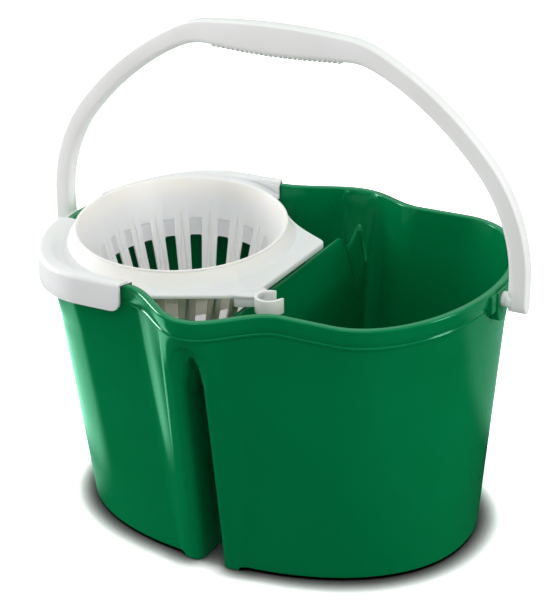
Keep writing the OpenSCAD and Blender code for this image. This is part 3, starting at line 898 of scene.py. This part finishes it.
def grown(name, build, inputs):
    """The mesh that a Geometry Nodes tree grows, as a plain object."""
    group, tree, wires, marks = tree_group(name, inputs)
    smooth = tree.node("GeometryNodeSetShadeSmooth", {"Geometry": build(tree, wires)})
    dressed = {"Geometry": smooth, "Material": wires["Material"]}
    tree.node("NodeGroupOutput", {"Geometry": tree.node("GeometryNodeSetMaterial", dressed)})
    seed = placed(name + "_seed", bpy.data.meshes.new(name + "_seed"))
    modifier = seed.modifiers.new(name, "NODES")
    modifier.node_group = group
    for key, value in inputs.items():
        modifier[marks[key]] = value
    seen = seed.evaluated_get(bpy.context.evaluated_depsgraph_get())
    mesh = bpy.data.meshes.new_from_object(seen)
    mesh.name = name
    bpy.data.objects.remove(seed)
    bpy.data.node_groups.remove(group)
    bm = bmesh.new()
    bm.from_mesh(mesh)
    bmesh.ops.remove_doubles(bm, verts=bm.verts, dist=TINY_GAP)
    bmesh.ops.recalc_face_normals(bm, faces=bm.faces)
    bm.to_mesh(mesh)
    bm.free()
    if "turn" in mesh.attributes:
        mesh.attributes.remove(mesh.attributes["turn"])
    mesh.set_sharp_from_angle(angle=math.radians(40))
    return placed(name, mesh)


def copies(tree, count, nx, ny, nz):
    """Like blocks at the origin, realized, each with its number, and a block's own coordinates."""
    line = tree.node("GeometryNodeMeshLine", {"Count": count, "Offset": (0, 0, 0)})
    index = tree.node("GeometryNodeInputIndex") + 0
    marked = tree.node(
        "GeometryNodeStoreNamedAttribute", {"Geometry": line, "Name": "turn", "Value": index},
        data_type="FLOAT", domain="POINT",
    )
    sides = {"Vertices X": nx, "Vertices Y": ny, "Vertices Z": nz}
    block = tree.node("GeometryNodeMeshCube", {"Size": (1, 1, 1), **sides})
    many = tree.node("GeometryNodeInstanceOnPoints", {"Points": marked, "Instance": block})
    real = tree.node("GeometryNodeRealizeInstances", {"Geometry": many})
    turn = tree.node("GeometryNodeInputNamedAttribute", {"Name": "turn"}, data_type="FLOAT")
    return real, turn, tree.axes(tree.node("GeometryNodeInputPosition"))


def set_place(tree, geometry, *axes):
    place = tree.node("ShaderNodeCombineXYZ", {i: axis * MM for i, axis in enumerate(axes)})
    return tree.node("GeometryNodeSetPosition", {"Geometry": geometry, "Position": place})


def stave_ribs(tree, w):
    """Wedges on the staves: each starts in a point and grows wider and taller downward."""
    real, turn, (u, v, h) = copies(tree, w["Count"], 9, 14, 2)
    v, h = v + 0.5, h + 0.5
    maths = tree.maths

    def grade(first, last):
        return w[first] + (w[last] - w[first]) * v

    depth, wide = grade("From", "To"), grade("Width Top", "Width Foot")
    ridge = 1 - maths("ABSOLUTE", u * 2) ** w["Roundness"]
    lift = h * ridge * grade("Height Top", "Height Foot") - w["Sunk"] * (1 - h)
    e = w["Face"] + w["Side"] * lift - w["Slope"] * depth
    a, b = w["Half Length"] + e, w["Half Width"] + e
    even = (turn + 0.5) * FULL_TURN / w["Count"]
    middle = even - w["Evenness"] * maths("SINE", even * 2)
    squares = (a * maths("SINE", middle)) ** 2 + (b * maths("COSINE", middle)) ** 2
    t = middle + u * wide / maths("SQRT", squares)
    x = w["Middle"] + a * maths("COSINE", t)
    z = w["Mouth"] - depth - (x - w["Middle"]) * w["Tilt"]
    return set_place(tree, real, x, b * maths("SINE", t), z)


def grip_ribs(tree, w):
    """Rounded bars across the grip's underside."""
    real, turn, (u, v, h) = copies(tree, w["Count"], 7, 13, 2)
    h = h + 0.5
    maths = tree.maths
    x = (turn - (w["Count"] - 1) / 2) * w["Step"] + u * w["Bar"]
    a = maths("ARCSINE", x / (w["Radius"] * w["Scale X"]))
    sink, way = maths("SINE", a) * w["Scale Z"], maths("COSINE", a) * w["Scale X"]
    size = maths("SQRT", sink * sink + way * way)
    swell = maths("COSINE", x / w["Length"] * (math.pi / 2)) ** 2
    depth = w["Arm Depth"] + (w["Grip Depth"] - w["Arm Depth"]) * swell
    half = (w["Arm Width"] + (w["Grip Width"] - w["Arm Width"]) * swell) / 2 - 0.4
    side = v * 2
    edge = 1 - maths("ABSOLUTE", side) ** 3.2
    crown = maths("SQRT", maths("MAXIMUM", 1 - 4 * u * u, 0))
    low = depth - 5.0 + 4.6 * maths("SQRT", maths("MAXIMUM", edge, 0))
    d = low - 1.2 * (1 - h) + h * crown * w["Height"] * maths("MAXIMUM", edge, 0.25)
    z = w["Top"] - w["Scale Z"] * w["Radius"] * (1 - maths("COSINE", a)) - d * way / size
    return set_place(tree, real, x - d * sink / size, side * half, z)


class HandleOperator(bpy.types.Operator):
    """Make the white bail handle with its grip ribs and pivot pins"""

    bl_idname = "mesh.bail_handle"
    bl_label = "Bail handle"

    bar_share, pin_play, pin_n = 0.78, 0.4, 48

    def pin(self, side, r, start, arm_in, pivot_z):
        stations = [(start, r - 0.6), (start + 0.3, r - 0.2), (start + 0.8, r), (arm_in - 0.6, r)]
        stations += [(arm_in - 0.2, r + 0.25), (arm_in + 0.2, r + 0.8), (arm_in + 5, r + 0.8)]
        rings = [circle(0, pivot_z, q, self.pin_n) for _, q in stations]
        shape = Shape()
        shape.loft([[(side * x, *p) for p in ring] for (x, _), ring in zip(stations, rings)])
        return shape

    def execute(self, context):
        bucket = in_mm(context.scene.bucket_sizes)
        sizes = in_mm(context.scene.handle_sizes)
        looks = context.scene.bucket_looks
        white = plastic(
            "handle_white", looks.handle, looks.handle_warm, looks.white_rough, 0.4, 0.08
        )
        rim_a, pivot_z = bucket.rim_l / 2, bucket.rim_h - bucket.pivot_drop
        arm_in = rim_a + TubForm.tongue_reach + sizes.ear_gap
        start = rim_a - (bucket.lip_w - bucket.wall) - self.pin_play
        form = BailForm(sizes, pivot_z, arm_in)
        parts = [form.shape().object("bail", white, sharp=50)]
        for side in (1, -1):
            pin = self.pin(side, bucket.pin_d / 2, start, arm_in, pivot_z)
            parts.append(pin.object("pin", white))
        bail = joined("handle_bail", parts)
        step = sizes.grip_l / (sizes.rib_count - 1)
        inputs = {
            "Count": sizes.rib_count, "Step": step, "Bar": step * self.bar_share,
            "Radius": float(form.arcs[0][0]), "Scale X": form.kx, "Scale Z": form.kz,
            "Length": sizes.grip_l, "Height": sizes.rib_h, "Top": sizes.handle_top,
            "Arm Depth": sizes.arm_t, "Grip Depth": sizes.grip_t - sizes.rib_h,
            "Arm Width": sizes.arm_w, "Grip Width": sizes.grip_w, "Material": white,
        }
        ribs = grown("handle_grip_ribs", grip_ribs, inputs)
        for piece in (bail, ribs):
            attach(piece, "handle")
        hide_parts("handle")
        return {"FINISHED"}


class WringerForm:
    """The rule of the wringer: a slotted funnel in a sloping deck that hooks over the rim."""

    edge_x, edge_y, edge_h = 11.5, 65.0, 6.0
    front_run, front_lean, front_h = 156.0, 0.744, 4.0
    waist_at, waist_gap = math.radians(58), 7.5
    hook_off, hook_r, wing_x = 5.5, 4.0, -76.0
    corner_r, end_r = 1.5, 9.0
    seat_gap, leg_gap, hook_more = 0.3, 2.2, 2.0
    notch_in, notch_back = 5.5, 8.0
    slot_end, panel_rise = 9.0, 15.0
    front_foot, side_foot, foot_room = 12.0, 7.0, 4.2
    even = 0.125
    sunk_in, sunk_out, slot_r = 1.1, 0.9, 1.6
    slot_in, slot_out = (4, 9), (7, 12)
    drain_x, drain_y, drain_r = 30, 34, 7
    clip_at = (27.5, -71.0)
    clip_turn, clip_mouth = math.radians(47), math.radians(84)

    def __init__(self, sizes, tub):
        self.s, self.tub = sizes, tub
        self.a, self.b = sizes.mouth_l / 2, sizes.mouth_w / 2
        self.x0 = -tub.rim_a + sizes.mouth_in + self.a
        self.z0 = tub.s.rim_h + sizes.mouth_rise
        self.tilt = math.tan(sizes.lean)
        self.crown_z = tub.s.rim_h + self.seat_gap + sizes.shell
        self.hook_z = self.crown_z - sizes.hook_h - self.hook_more
        self.notch_x = -tub.rim_a + tub.s.lip_w + self.notch_in
        self.inside = -tub.s.lip_w - self.leg_gap
        self.pitch = FULL_TURN / sizes.slot_count
        self.half_slot = sizes.slot_share / 2
        self.slot_to = sizes.funnel_h - self.slot_end
        self.panel_from = sizes.slot_from - self.panel_rise
        self.corner_at = math.atan2(self.edge_y, self.edge_x - self.x0)
        self.wing_at = math.atan2(tub.rim_b + self.hook_off, self.wing_x - self.x0)
        notch_end = self.notch_x - self.notch_back - self.x0
        self.notch_at = math.atan2(sizes.notch_w / 2, notch_end)
        wing_r = self.hit(self.wing_at, self.inside) - sizes.shell - 0.5
        self.wing_gap = wing_r - self.collar_r(self.wing_at, sizes.shell)

    def warp(self, u):
        """The turn on the oval for an even turn along its wall."""
        return u - self.even * math.sin(2 * u)

    def unwarp(self, t):
        u = t
        for _ in range(12):
            u = t + self.even * math.sin(2 * u)
        return u

    def polar(self, t):
        return math.atan2(self.b * math.sin(t), self.a * math.cos(t))

    def unpolar(self, f):
        return math.atan2(self.a * math.sin(f), self.b * math.cos(f))

    def collar_r(self, f, d):
        return 1 / math.hypot(math.cos(f) / (self.a + d), math.sin(f) / (self.b + d))

    def hit(self, f, off):
        """Distance from the funnel's middle to the rim's outline, moved out by a distance."""
        lo, hi = 0.0, self.tub.s.rim_l
        for _ in range(26):
            r = (lo + hi) / 2
            x = self.x0 + r * math.cos(f)
            past = abs(x) > self.tub.rim_a + off
            past = past or abs(r * math.sin(f)) > self.tub.rim_y(x, off)
            lo, hi = (lo, r) if past else (r, hi)
        return lo

    def front_share(self, f):
        """How much of the deck's straight front edge a turn has: none at its two ends."""
        corner, wing = (-f - self.corner_at) / 0.17, (self.wing_at + f) / 0.1
        return ease(clamp(corner)) * ease(clamp(wing))

    def edge_r(self, f):
        straight = self.front_run / (math.sin(abs(f)) + self.front_lean * math.cos(f))
        return lerp(self.waisted_r(abs(f)), straight, self.front_share(f))

    def waisted_r(self, a):
        """The deck's edge by turn: its end, a waist beside the collar, a wing and the notch."""
        shell, corner = self.s.shell, self.corner_at
        c = self.collar_r(a, shell)
        blunt = self.corner_r * max(0.0, 1 - abs(a - corner) / 0.035) ** 2
        if a <= corner:
            return (self.edge_x - self.x0) / math.cos(a) - blunt
        if a < self.waist_at:
            tip = self.edge_y / math.sin(corner) - self.collar_r(corner, shell)
            u = (self.waist_at - a) / (self.waist_at - corner)
            return c + lerp(self.waist_gap, tip, u * u) - blunt
        if a < self.wing_at:
            u = (a - self.waist_at) / (self.wing_at - self.waist_at)
            return c + lerp(self.waist_gap, self.wing_gap, u * u)
        if a < self.notch_at:
            return self.hit(a, self.inside) - 0.8
        return (self.notch_x - self.x0) / math.cos(a)

    def slope_z(self, x, d):
        return self.z0 - d - (x - self.x0) * self.tilt

    def on_wall(self, t, d, out):
        e = out - self.s.funnel_slope * d
        x = self.x0 + (self.a + e) * math.cos(t)
        return x, (self.b + e) * math.sin(t), self.slope_z(x, d)

    def on_ray(self, f, r, d):
        x = self.x0 + r * math.cos(f)
        return x, r * math.sin(f), self.slope_z(x, d)

    def turns(self):
        """Turns of the columns: the same steps in every pitch, and the deck's own corners."""
        h = self.half_slot
        steps = [-h - 0.014, -h, -h + 0.03, -h * 0.6, -h * 0.2]
        steps += [-f for f in steps] + [lerp(h, 1 - h, f) for f in (0.2, 0.4, 0.6, 0.8)]
        turns = [self.pitch * (k + f) for k in range(self.s.slot_count) for f in steps]
        near = (0.004, 0.01, 0.018, 0.026, 0.034)
        for at in (self.corner_at, self.wing_at, self.notch_at):
            for step in (0.0, *near, *(-f for f in near)):
                mark = self.unpolar(at + step)
                turns += [self.unwarp(t % FULL_TURN) for t in (mark, -mark)]
        turns = sorted(t % FULL_TURN for t in turns)
        return [t for i, t in enumerate(turns) if i == 0 or t - turns[i - 1] > 1e-5]

    def share_at(self, t):
        """How far a turn is from the nearest slot's middle, in pitches."""
        u = t / self.pitch
        return abs(u - round(u))

    def inner_line(self, foot, top, sunk):
        """Depths and offsets up the funnel's inside, over its lip and down the collar's flank."""
        s, low, high = self.s, self.slot_to, self.panel_from
        floor, flank, lip = s.funnel_h - s.shell, s.collar_h, s.shell + 0.6
        line = [(floor, -3.0), (floor - 0.8, -0.9), (floor - 3, 0.0), (low + 1.5, 0.0), (low, 0.0)]
        line += [(lerp(low, s.slot_from, k), sunk * ease(k)) for k in (0.25, 0.5, 0.75, 0.95)]
        line += [(top, sunk), (high + 3, sunk), (high + 0.3, sunk * 0.95)]
        line += [(high - 0.5, 0.15 * sunk), (high - 1.2, 0.0), (high - 4, 0.0)]
        line += [(28.0, 0.0), (16.0, 0.0), (6.0, 0.0), (1.9, 0.0)]
        for a in spread(0, math.pi, 8):
            line.append((1.5 - 1.5 * math.sin(a), lip / 2 - lip / 2 * math.cos(a)))
        for k in (0, 0.15, 0.3, 0.45, 0.6, 0.72, 0.82, 0.9, 0.96, 1.0):
            out = (foot - 0.4) * (0.85 * k + 0.15 * k ** 6) + s.funnel_slope * flank * k
            line.append((lerp(2.2, flank, k), lip + 0.1 + out))
        return line

    def edge_line(self, edge, low):
        """Distances and drops over the deck's rounded edge and back to its underside."""
        shell = self.s.shell
        back = edge - shell
        line = [(edge - 2.6, 0.0), (edge - 1.6, 0.0), (edge - 1.0, 0.12), (edge - 0.5, 0.4)]
        line += [(edge - 0.12, 1.0), (edge, 1.7), (edge, low - 0.8), (edge - 0.25, low - 0.2)]
        line += [(edge - 0.8, low), (back + 0.3, low), (back, low - 0.4), (back, shell + 0.9)]
        return line + [(back - 0.3, shell + 0.2), (back - 0.9, shell)]

    def outer_line(self, top, sunk):
        """Depths and offsets down the funnel's outside."""
        s, out, low = self.s, self.s.shell, self.slot_to
        under = s.collar_h + out
        line = [(under, out + 2.6), (under + 0.6, out + 1.0), (under + 2.5, out), (under + 7, out)]
        line += [(under + 8.2, out - 0.15 * sunk), (under + 8.8, out - 0.95 * sunk)]
        line += [(self.panel_from, out - sunk), (top, out - sunk)]
        for k in (0.05, 0.25, 0.5, 0.75):
            line.append((lerp(s.slot_from, low, k), out - sunk * (1 - ease(k))))
        line += [(low, out), (low + 1.5, out), (s.funnel_h - 3, out)]
        return line + [(s.funnel_h - 0.8, out - 0.4), (s.funnel_h, out - 1.6)]

    def column(self, turn):
        """One column of the funnel: its inside, the deck's edge and its outside."""
        s, t = self.s, self.warp(turn)
        f, u = self.polar(t), self.share_at(turn)
        nip = sunk_in = sunk_out = 0.0
        if u < self.half_slot + 0.002:
            nip = self.slot_r * (1 - arch(clamp((u - self.half_slot + 0.05) / 0.05)))
            sunk_in, sunk_out = self.sunk_in, self.sunk_out
        edge, front = self.edge_r(f), self.front_share(f)
        room = edge - self.collar_r(f, s.shell) - self.foot_room
        foot = max(1.0, min(lerp(self.side_foot, self.front_foot, front), room))
        top = s.slot_from + nip
        rim = self.edge_line(edge, lerp(self.edge_h, self.front_h, front))
        return (
            [self.on_wall(t, d, e) for d, e in self.inner_line(foot, top, sunk_in)],
            [self.on_ray(f, r, s.collar_h + d) for r, d in rim],
            [self.on_wall(t, d, e) for d, e in self.outer_line(top, sunk_out)],
        )

    def funnel(self):
        shape = Shape()
        turns = self.turns()
        n = len(turns)
        columns = []
        for turn in turns:
            inner, rim, outer = self.column(turn)
            columns.append(inner + rim + outer)
        (i0, i1), (o0, o1) = self.slot_in, [len(inner + rim) + r for r in self.slot_out]
        ends = turns[1:] + [turns[0] + FULL_TURN]
        limit = self.half_slot - 0.0005
        open_cell = [self.share_at((a + b) / 2) < limit for a, b in zip(turns, ends)]
        rows = [list(row) for row in zip(*columns)]

        def skip(r, c):
            return open_cell[c] and (i0 <= r < i1 or o0 <= r < o1)

        shape.grid(rows, closed=True, skip=skip)
        self.floor(shape, rows)
        for c in range(n):
            this, following = columns[c], columns[(c + 1) % n]
            if open_cell[c]:
                for a, b in ((i0, o1), (i1, o0)):
                    shape.grid([[this[a], following[a]], [this[b], following[b]]])
            if open_cell[c] != open_cell[c - 1]:
                shape.grid([this[i0:i1 + 1], this[o0:o1 + 1][::-1]])
        return shape

    def floor(self, shape, rows):
        """The funnel's floor, inside and outside, with its six round drain holes."""
        edges = []
        for row, d in ((rows[0], self.s.funnel_h - self.s.shell), (rows[-1], self.s.funnel_h)):
            loops = [row]
            for k in range(6):
                a = math.pi / 3 * k
                x, y = self.x0 + self.drain_x * math.cos(a), self.drain_y * math.sin(a)
                hole = circle(x, y, self.drain_r, 32)
                loops.append([(px, py, self.slope_z(px, d)) for px, py in hole])
            first = shape.add([p for loop in loops for p in loop])
            flat = [[Vector((p[0], p[1], 0)) for p in loop] for loop in loops]
            for face in tessellate_polygon(flat):
                shape.faces.append(tuple(first + i for i in face))
            edges.append(loops[1:])
        for top, low in zip(*edges):
            shape.grid([top, low], closed=True)

    def hook_ring(self, f, side):
        """A cut through a hook: a leg inside the rim, a crown over it and a skirt outside."""
        s, r = self.s, self.hook_r
        far, near = self.hit(f, self.hook_off), self.hit(f, self.inside)
        deck = self.slope_z(self.x0 + near * math.cos(f), s.collar_h)
        top = max(self.crown_z, deck + 0.25)
        leg = min(deck - s.shell - 0.6, self.tub.s.rim_h - 1)
        seat = self.tub.s.rim_h + self.seat_gap
        run = (f - self.wing_at) * far
        low = self.hook_z + self.end_r * (1 - arch(clamp(1 - run / self.end_r)))
        fade = ease(clamp(1 - run / 36))
        start = max(near - lerp(11, 1.5, fade), self.collar_r(f, s.shell) + 4)
        flat = lerp(near, far, 0.3)
        back = far - s.shell
        ring = [(near - s.shell, leg)]
        for k in spread(0, 1, 10):
            q = lerp(start, flat, k)
            base = self.slope_z(self.x0 + q * math.cos(f), s.collar_h)
            ring.append((q, lerp(base - 0.3, top, ease(k))))
        ring.append((far - r - 0.2, top))
        ring += [(far - r + r * sine, top - r + r * cosine) for sine, cosine in quarter(7)]
        ring += [(far + 0.3, lerp(top - r, low, 0.6)), (far + 0.5, low + 0.8)]
        ring += [(far + 0.3, low + 0.15), (far - 0.2, low), (back + 0.9, low)]
        ring += [(back + 0.5, low + 0.4), (back, seat - 0.6), (back - 0.6, seat)]
        ring += [(near, seat), (near, leg)]
        points = []
        for q, z in ring:
            slant = 7 * fade * clamp((far - q) / (far - near))
            points.append((self.x0 + q * math.cos(f) + slant, side * q * math.sin(f), z))
        return points

    def hook(self, side):
        shape = Shape()
        shares = [0, 0.002, 0.006, 0.012, 0.02, 0.03, 0.045, 0.06] + spread(0.08, 1, 60)
        turns = [lerp(self.wing_at, self.notch_at, u) for u in shares]
        shape.loft([self.hook_ring(f, side) for f in turns])
        return shape

    def clip(self):
        """The spring clip: a ring with an open mouth and flared jaws, an arm and a web."""
        s = self.s
        (cx, cy), r = self.clip_at, s.clip_d / 2
        deck = self.slope_z(self.edge_x, s.collar_h)
        top = deck + 1.5
        low = top - s.clip_h
        first = self.clip_turn + self.clip_mouth / 2
        last = self.clip_turn - self.clip_mouth / 2 + FULL_TURN
        inner, outer = [], []
        for a in spread(first, last, 48):
            from_first, to_last = a - first, last - a
            flare = 1.6 * clamp(1 - to_last / 0.35) ** 2 + 0.8 * clamp(1 - from_first / 0.3) ** 2
            thick = s.clip_t * lerp(1, 0.75, clamp(1 - min(from_first, to_last) / 0.3))
            for line, q in ((inner, r + flare), (outer, r + flare + thick)):
                line.append((cx + q * math.cos(a), cy + q * math.sin(a)))
        ring, arm, web = Shape(), Shape(), Shape()
        ring.grid([at_height(inner + outer[::-1], z) for z in (low, top)], closed=True)
        for z in (low, top):
            ring.grid([at_height(inner, z), at_height(outer, z)])
        plate = [(-8, cy - 15), (-8, -60), (6, -50), (cx - 3, cy + r + 2)]
        plate += [(cx - r * 0.75, cy + r * 0.75), (cx - r - 0.6, cy), (cx - r - 0.5, cy - 2)]
        plate.append((0, cy - 11))
        depths = (s.collar_h + 3.6, s.collar_h + 0.15)
        arm.loft([[(x, y, self.slope_z(x, d)) for x, y in plate] for d in depths])
        end = cx - r - 0.4
        wall = [(-1, cy - 11), (end, cy - 2), (end, cy + 0.6), (-1, cy - 8)]
        web.loft([at_height(wall, z) for z in (low + 2, deck - 2)])
        return {"ring": (ring, 0.45), "arm": (arm, 0.7), "web": (web, 0.5)}


class WringerOperator(bpy.types.Operator):
    """Make the white wringer: funnel, deck, hooks over the rim and the mop clip"""

    bl_idname = "mesh.funnel_wringer"
    bl_label = "Funnel wringer"

    translucence = 0.4
    ribs = {
        "From": 30.0, "Width Top": 0.8, "Width Foot": 9.0, "Height Top": 0.1,
        "Height Foot": 5.5, "Roundness": 1.1, "Face": 0.0, "Side": -1.0,
    }
    fins = {
        "From": 17.0, "Width Top": 0.8, "Width Foot": 9.0, "Height Top": 0.2,
        "Height Foot": 5.0, "Roundness": 1.6, "Side": 1.0,
    }

    def execute(self, context):
        sizes = in_mm(context.scene.wringer_sizes)
        looks = context.scene.bucket_looks
        white = plastic(
            "wringer_white", looks.white, looks.white_warm, looks.white_rough, 0.4, 0.08,
            depth=self.translucence,
        )
        form = WringerForm(sizes, TubForm(in_mm(context.scene.bucket_sizes)))
        funnel = form.funnel().object("wringer_funnel", white, sharp=38)
        hooks = [form.hook(side).object("hook", white, sharp=45) for side in (1, -1)]
        hooks = joined("wringer_hooks", hooks)
        clip = [
            shape.object(name, white, bevel=bevel) for name, (shape, bevel) in form.clip().items()
        ]
        clip = joined("wringer_clip", clip)
        common = {
            "Count": sizes.slot_count, "Half Length": form.a, "Half Width": form.b,
            "Middle": form.x0, "Mouth": form.z0, "Slope": sizes.funnel_slope,
            "Tilt": form.tilt, "To": form.slot_to + 2, "Sunk": 1.0, "Material": white,
            "Evenness": form.even,
        }
        outside = {**self.fins, "Face": sizes.shell}
        ribs = grown("wringer_stave_ribs", stave_ribs, {**common, **self.ribs})
        fins = grown("wringer_outer_fins", stave_ribs, {**common, **outside})
        for piece in (funnel, hooks, clip, ribs, fins):
            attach(piece, "wringer")
        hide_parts("wringer")
        return {"FINISHED"}


class StageOperator(bpy.types.Operator):
    """Make the floor, the studio light and the camera"""

    bl_idname = "scene.bucket_stage"
    bl_label = "Stage"

    floor_w, sensor_w, view_end = 6000.0, 36, 50
    shadow_reach, shadow_power, white_level = 0.024, 4.5, 2.1
    card_tint, sky_tint = (0.4, 1, 0.7, 1), (0.65, 1, 0.82, 1)
    card_glow, back_glow, sky_glow, dim = 2.0, 0.5, 1.2, 0.03
    foot_a, foot_b = 0.186, 0.132
    lamps = (
        ("key", (-0.5, 0.3, 2.2), (0, 0, 0.2), (1.5, 1.5), 5),
        ("front", (0.3, -1.0, 1.25), (0, 0, 0.4), (1.0, 0.5), 4.2),
        ("left", (-2.0, -0.2, 0.6), (0, 0, 0.2), (0.5, 1.2), 29),
        ("right", (2.0, 0.4, 0.6), (0, 0, 0.2), (0.5, 1.2), 14),
    )

    def lamp(self, name, place, aim, size, power):
        light = bpy.data.lights.new(name, "AREA")
        light.shape = "RECTANGLE"
        light.size, light.size_y = size
        light.energy = power
        obj = placed(name, light)
        obj.location = place
        obj.rotation_euler = (Vector(aim) - Vector(place)).to_track_quat("-Z", "Y").to_euler()

    def floor(self, colour):
        """A matt floor: white, with a painted soft shadow from its own occlusion to the camera,
        and to the gloss a glowing tinted card that the tub shows as painted reflections.
        """
        material = bpy.data.materials.new("floor_white")
        material.use_nodes = True
        nodes = material.node_tree.nodes
        nodes.remove(nodes["Principled BSDF"])
        tree = Tree(material.node_tree)
        step = tree.step
        rays = tree.node("ShaderNodeLightPath")
        # Painted shadow: near the tub the floor's own occlusion darkens the colour that the camera
        # sees.
        near = {"Distance": self.shadow_reach}
        close = tree.node("ShaderNodeAmbientOcclusion", near, samples=12).part("AO")
        painted_shadow_level = self.white_level * close ** self.shadow_power
        painted_shadow_grey = tree.node("ShaderNodeCombineColor", {0: painted_shadow_level, 1: painted_shadow_level, 2: painted_shadow_level})
        white = tree.mix(rays.part("Is Camera Ray"), colour4(colour), painted_shadow_grey)
        matt = tree.node("ShaderNodeBsdfDiffuse", {"Color": white})
        # Painted reflection: to glossy rays the floor glows as a tinted card, a stripe to the left
        # and a band behind, which the tub shows as highlights.
        x, y, _ = tree.axes(tree.place("Object"))
        away = step(((x / self.foot_a) ** 2 + (y / self.foot_b) ** 2) ** 0.5, 1.1, 1.6)
        away = tree.maths("MAXIMUM", away, 0.3 * step(x, -0.2, -0.14, 1.0, 0.0))
        slant = y + 0.11 - 0.466 * (x + 0.2)
        left = step(slant, -0.03, 0.03) * step(x, -0.17, -0.12, 1.0, 0.0) * away
        left = left * step(x, -0.54, -0.44)
        glow = self.dim + self.card_glow * left + self.back_glow * step(y, 0.17, 0.26)
        peak = self.dim + self.card_glow + self.back_glow
        tone = tree.mix(glow / peak, (0, 0, 0, 1), self.card_tint)
        card = tree.node("ShaderNodeEmission", {"Color": tone, "Strength": peak})
        glossy = rays.part("Is Glossy Ray")
        both = tree.node("ShaderNodeMixShader", {0: glossy, 1: matt, 2: card})
        tree.feed(nodes["Material Output"], "Surface", both)
        shape, w = Shape(), self.floor_w
        shape.cap([(-w, -w, 0.0), (w, -w, 0.0), (w, w, 0.0), (-w, w, 0.0)])
        shape.object("floor", material)

    def world(self, yaw):
        """A studio sky: soft light on the object, its own shine for gloss, white behind."""
        world = bpy.data.worlds.new("studio")
        bpy.context.scene.world = world
        world.use_nodes = True
        tree = Tree(world.node_tree)
        step = tree.step
        rays = tree.node("ShaderNodeLightPath")
        glossy, camera = rays.part("Is Glossy Ray"), rays.part("Is Camera Ray")
        x, y, z = tree.axes(tree.place("Generated"))
        front = x * math.sin(yaw) - y * math.cos(yaw)
        dusk = 1 - 0.75 * step(front, 0.4, 1.0) * step(z, 0.1, 0.5, 1.0, 0.0)
        soft = step(z, -0.1, 0.4, 0.42, 0.82) * step(z, 0.5, 0.95, 1.0, 0.52) * dusk
        shine = self.dim + self.sky_glow * step(z, 0.08, 0.5)
        light = soft * (1 - glossy) + shine * glossy
        sky = world.node_tree.nodes["Background"]
        tree.feed(sky, "Color", tree.mix(glossy, (1, 1, 1, 1), self.sky_tint))
        tree.feed(sky, "Strength", light * (1 - camera) + camera)

    def camera(self, looks):
        data = bpy.data.cameras.new("camera")
        data.sensor_fit, data.sensor_width, data.lens = "HORIZONTAL", self.sensor_w, looks.lens
        data.clip_end = self.view_end
        yaw, pitch, roll = looks.yaw, looks.pitch, looks.roll
        ahead = Vector((-math.sin(yaw), math.cos(yaw), 0)) * math.cos(pitch)
        back = Vector((0, 0, math.sin(pitch))) - ahead
        flat = Vector((math.cos(yaw), math.sin(yaw), 0))
        upright = flat.cross(-back)
        right = math.cos(roll) * flat + math.sin(roll) * upright
        up = math.cos(roll) * upright - math.sin(roll) * flat
        turn = Matrix((right, up, back)).transposed().to_4x4()
        camera = placed("camera", data)
        camera.matrix_world = Matrix.Translation(looks.camera_at) @ turn
        bpy.context.scene.camera = camera

    def execute(self, context):
        looks = context.scene.bucket_stage
        self.camera(looks)
        self.floor(looks.floor)
        self.world(looks.yaw)
        for lamp in self.lamps:
            self.lamp(*lamp)
        context.scene.view_settings.view_transform = "Standard"
        return {"FINISHED"}


class BucketPanel(bpy.types.Panel):
    """Sizes, looks and makers of the bucket's pieces"""

    bl_idname = "VIEW3D_PT_bucket"
    bl_label = "Mop bucket"
    bl_space_type = "VIEW_3D"
    bl_region_type = "UI"
    bl_category = "Bucket"

    def draw(self, context):
        for operator in OPERATORS:
            self.layout.operator(operator.bl_idname)
        for key, group in GROUPS.items():
            box = self.layout.box()
            for name in group.__annotations__:
                box.prop(getattr(context.scene, key), name)


OPERATORS = (BucketOperator, WringerOperator, HandleOperator, StageOperator)
CLASSES = (*GROUPS.values(), *OPERATORS, BucketPanel)


def register():
    for cls in CLASSES:
        bpy.utils.register_class(cls)
    for key, group in GROUPS.items():
        setattr(bpy.types.Scene, key, PointerProperty(type=group))


def unregister():
    for key in GROUPS:
        delattr(bpy.types.Scene, key)
    for cls in reversed(CLASSES):
        bpy.utils.unregister_class(cls)


def main():
    register()
    bpy.ops.mesh.twin_tub()
    bpy.ops.mesh.funnel_wringer()
    bpy.ops.mesh.bail_handle()
    bpy.ops.scene.bucket_stage()
    bpy.context.view_layer.update()


if __name__ == "__main__":
    main()
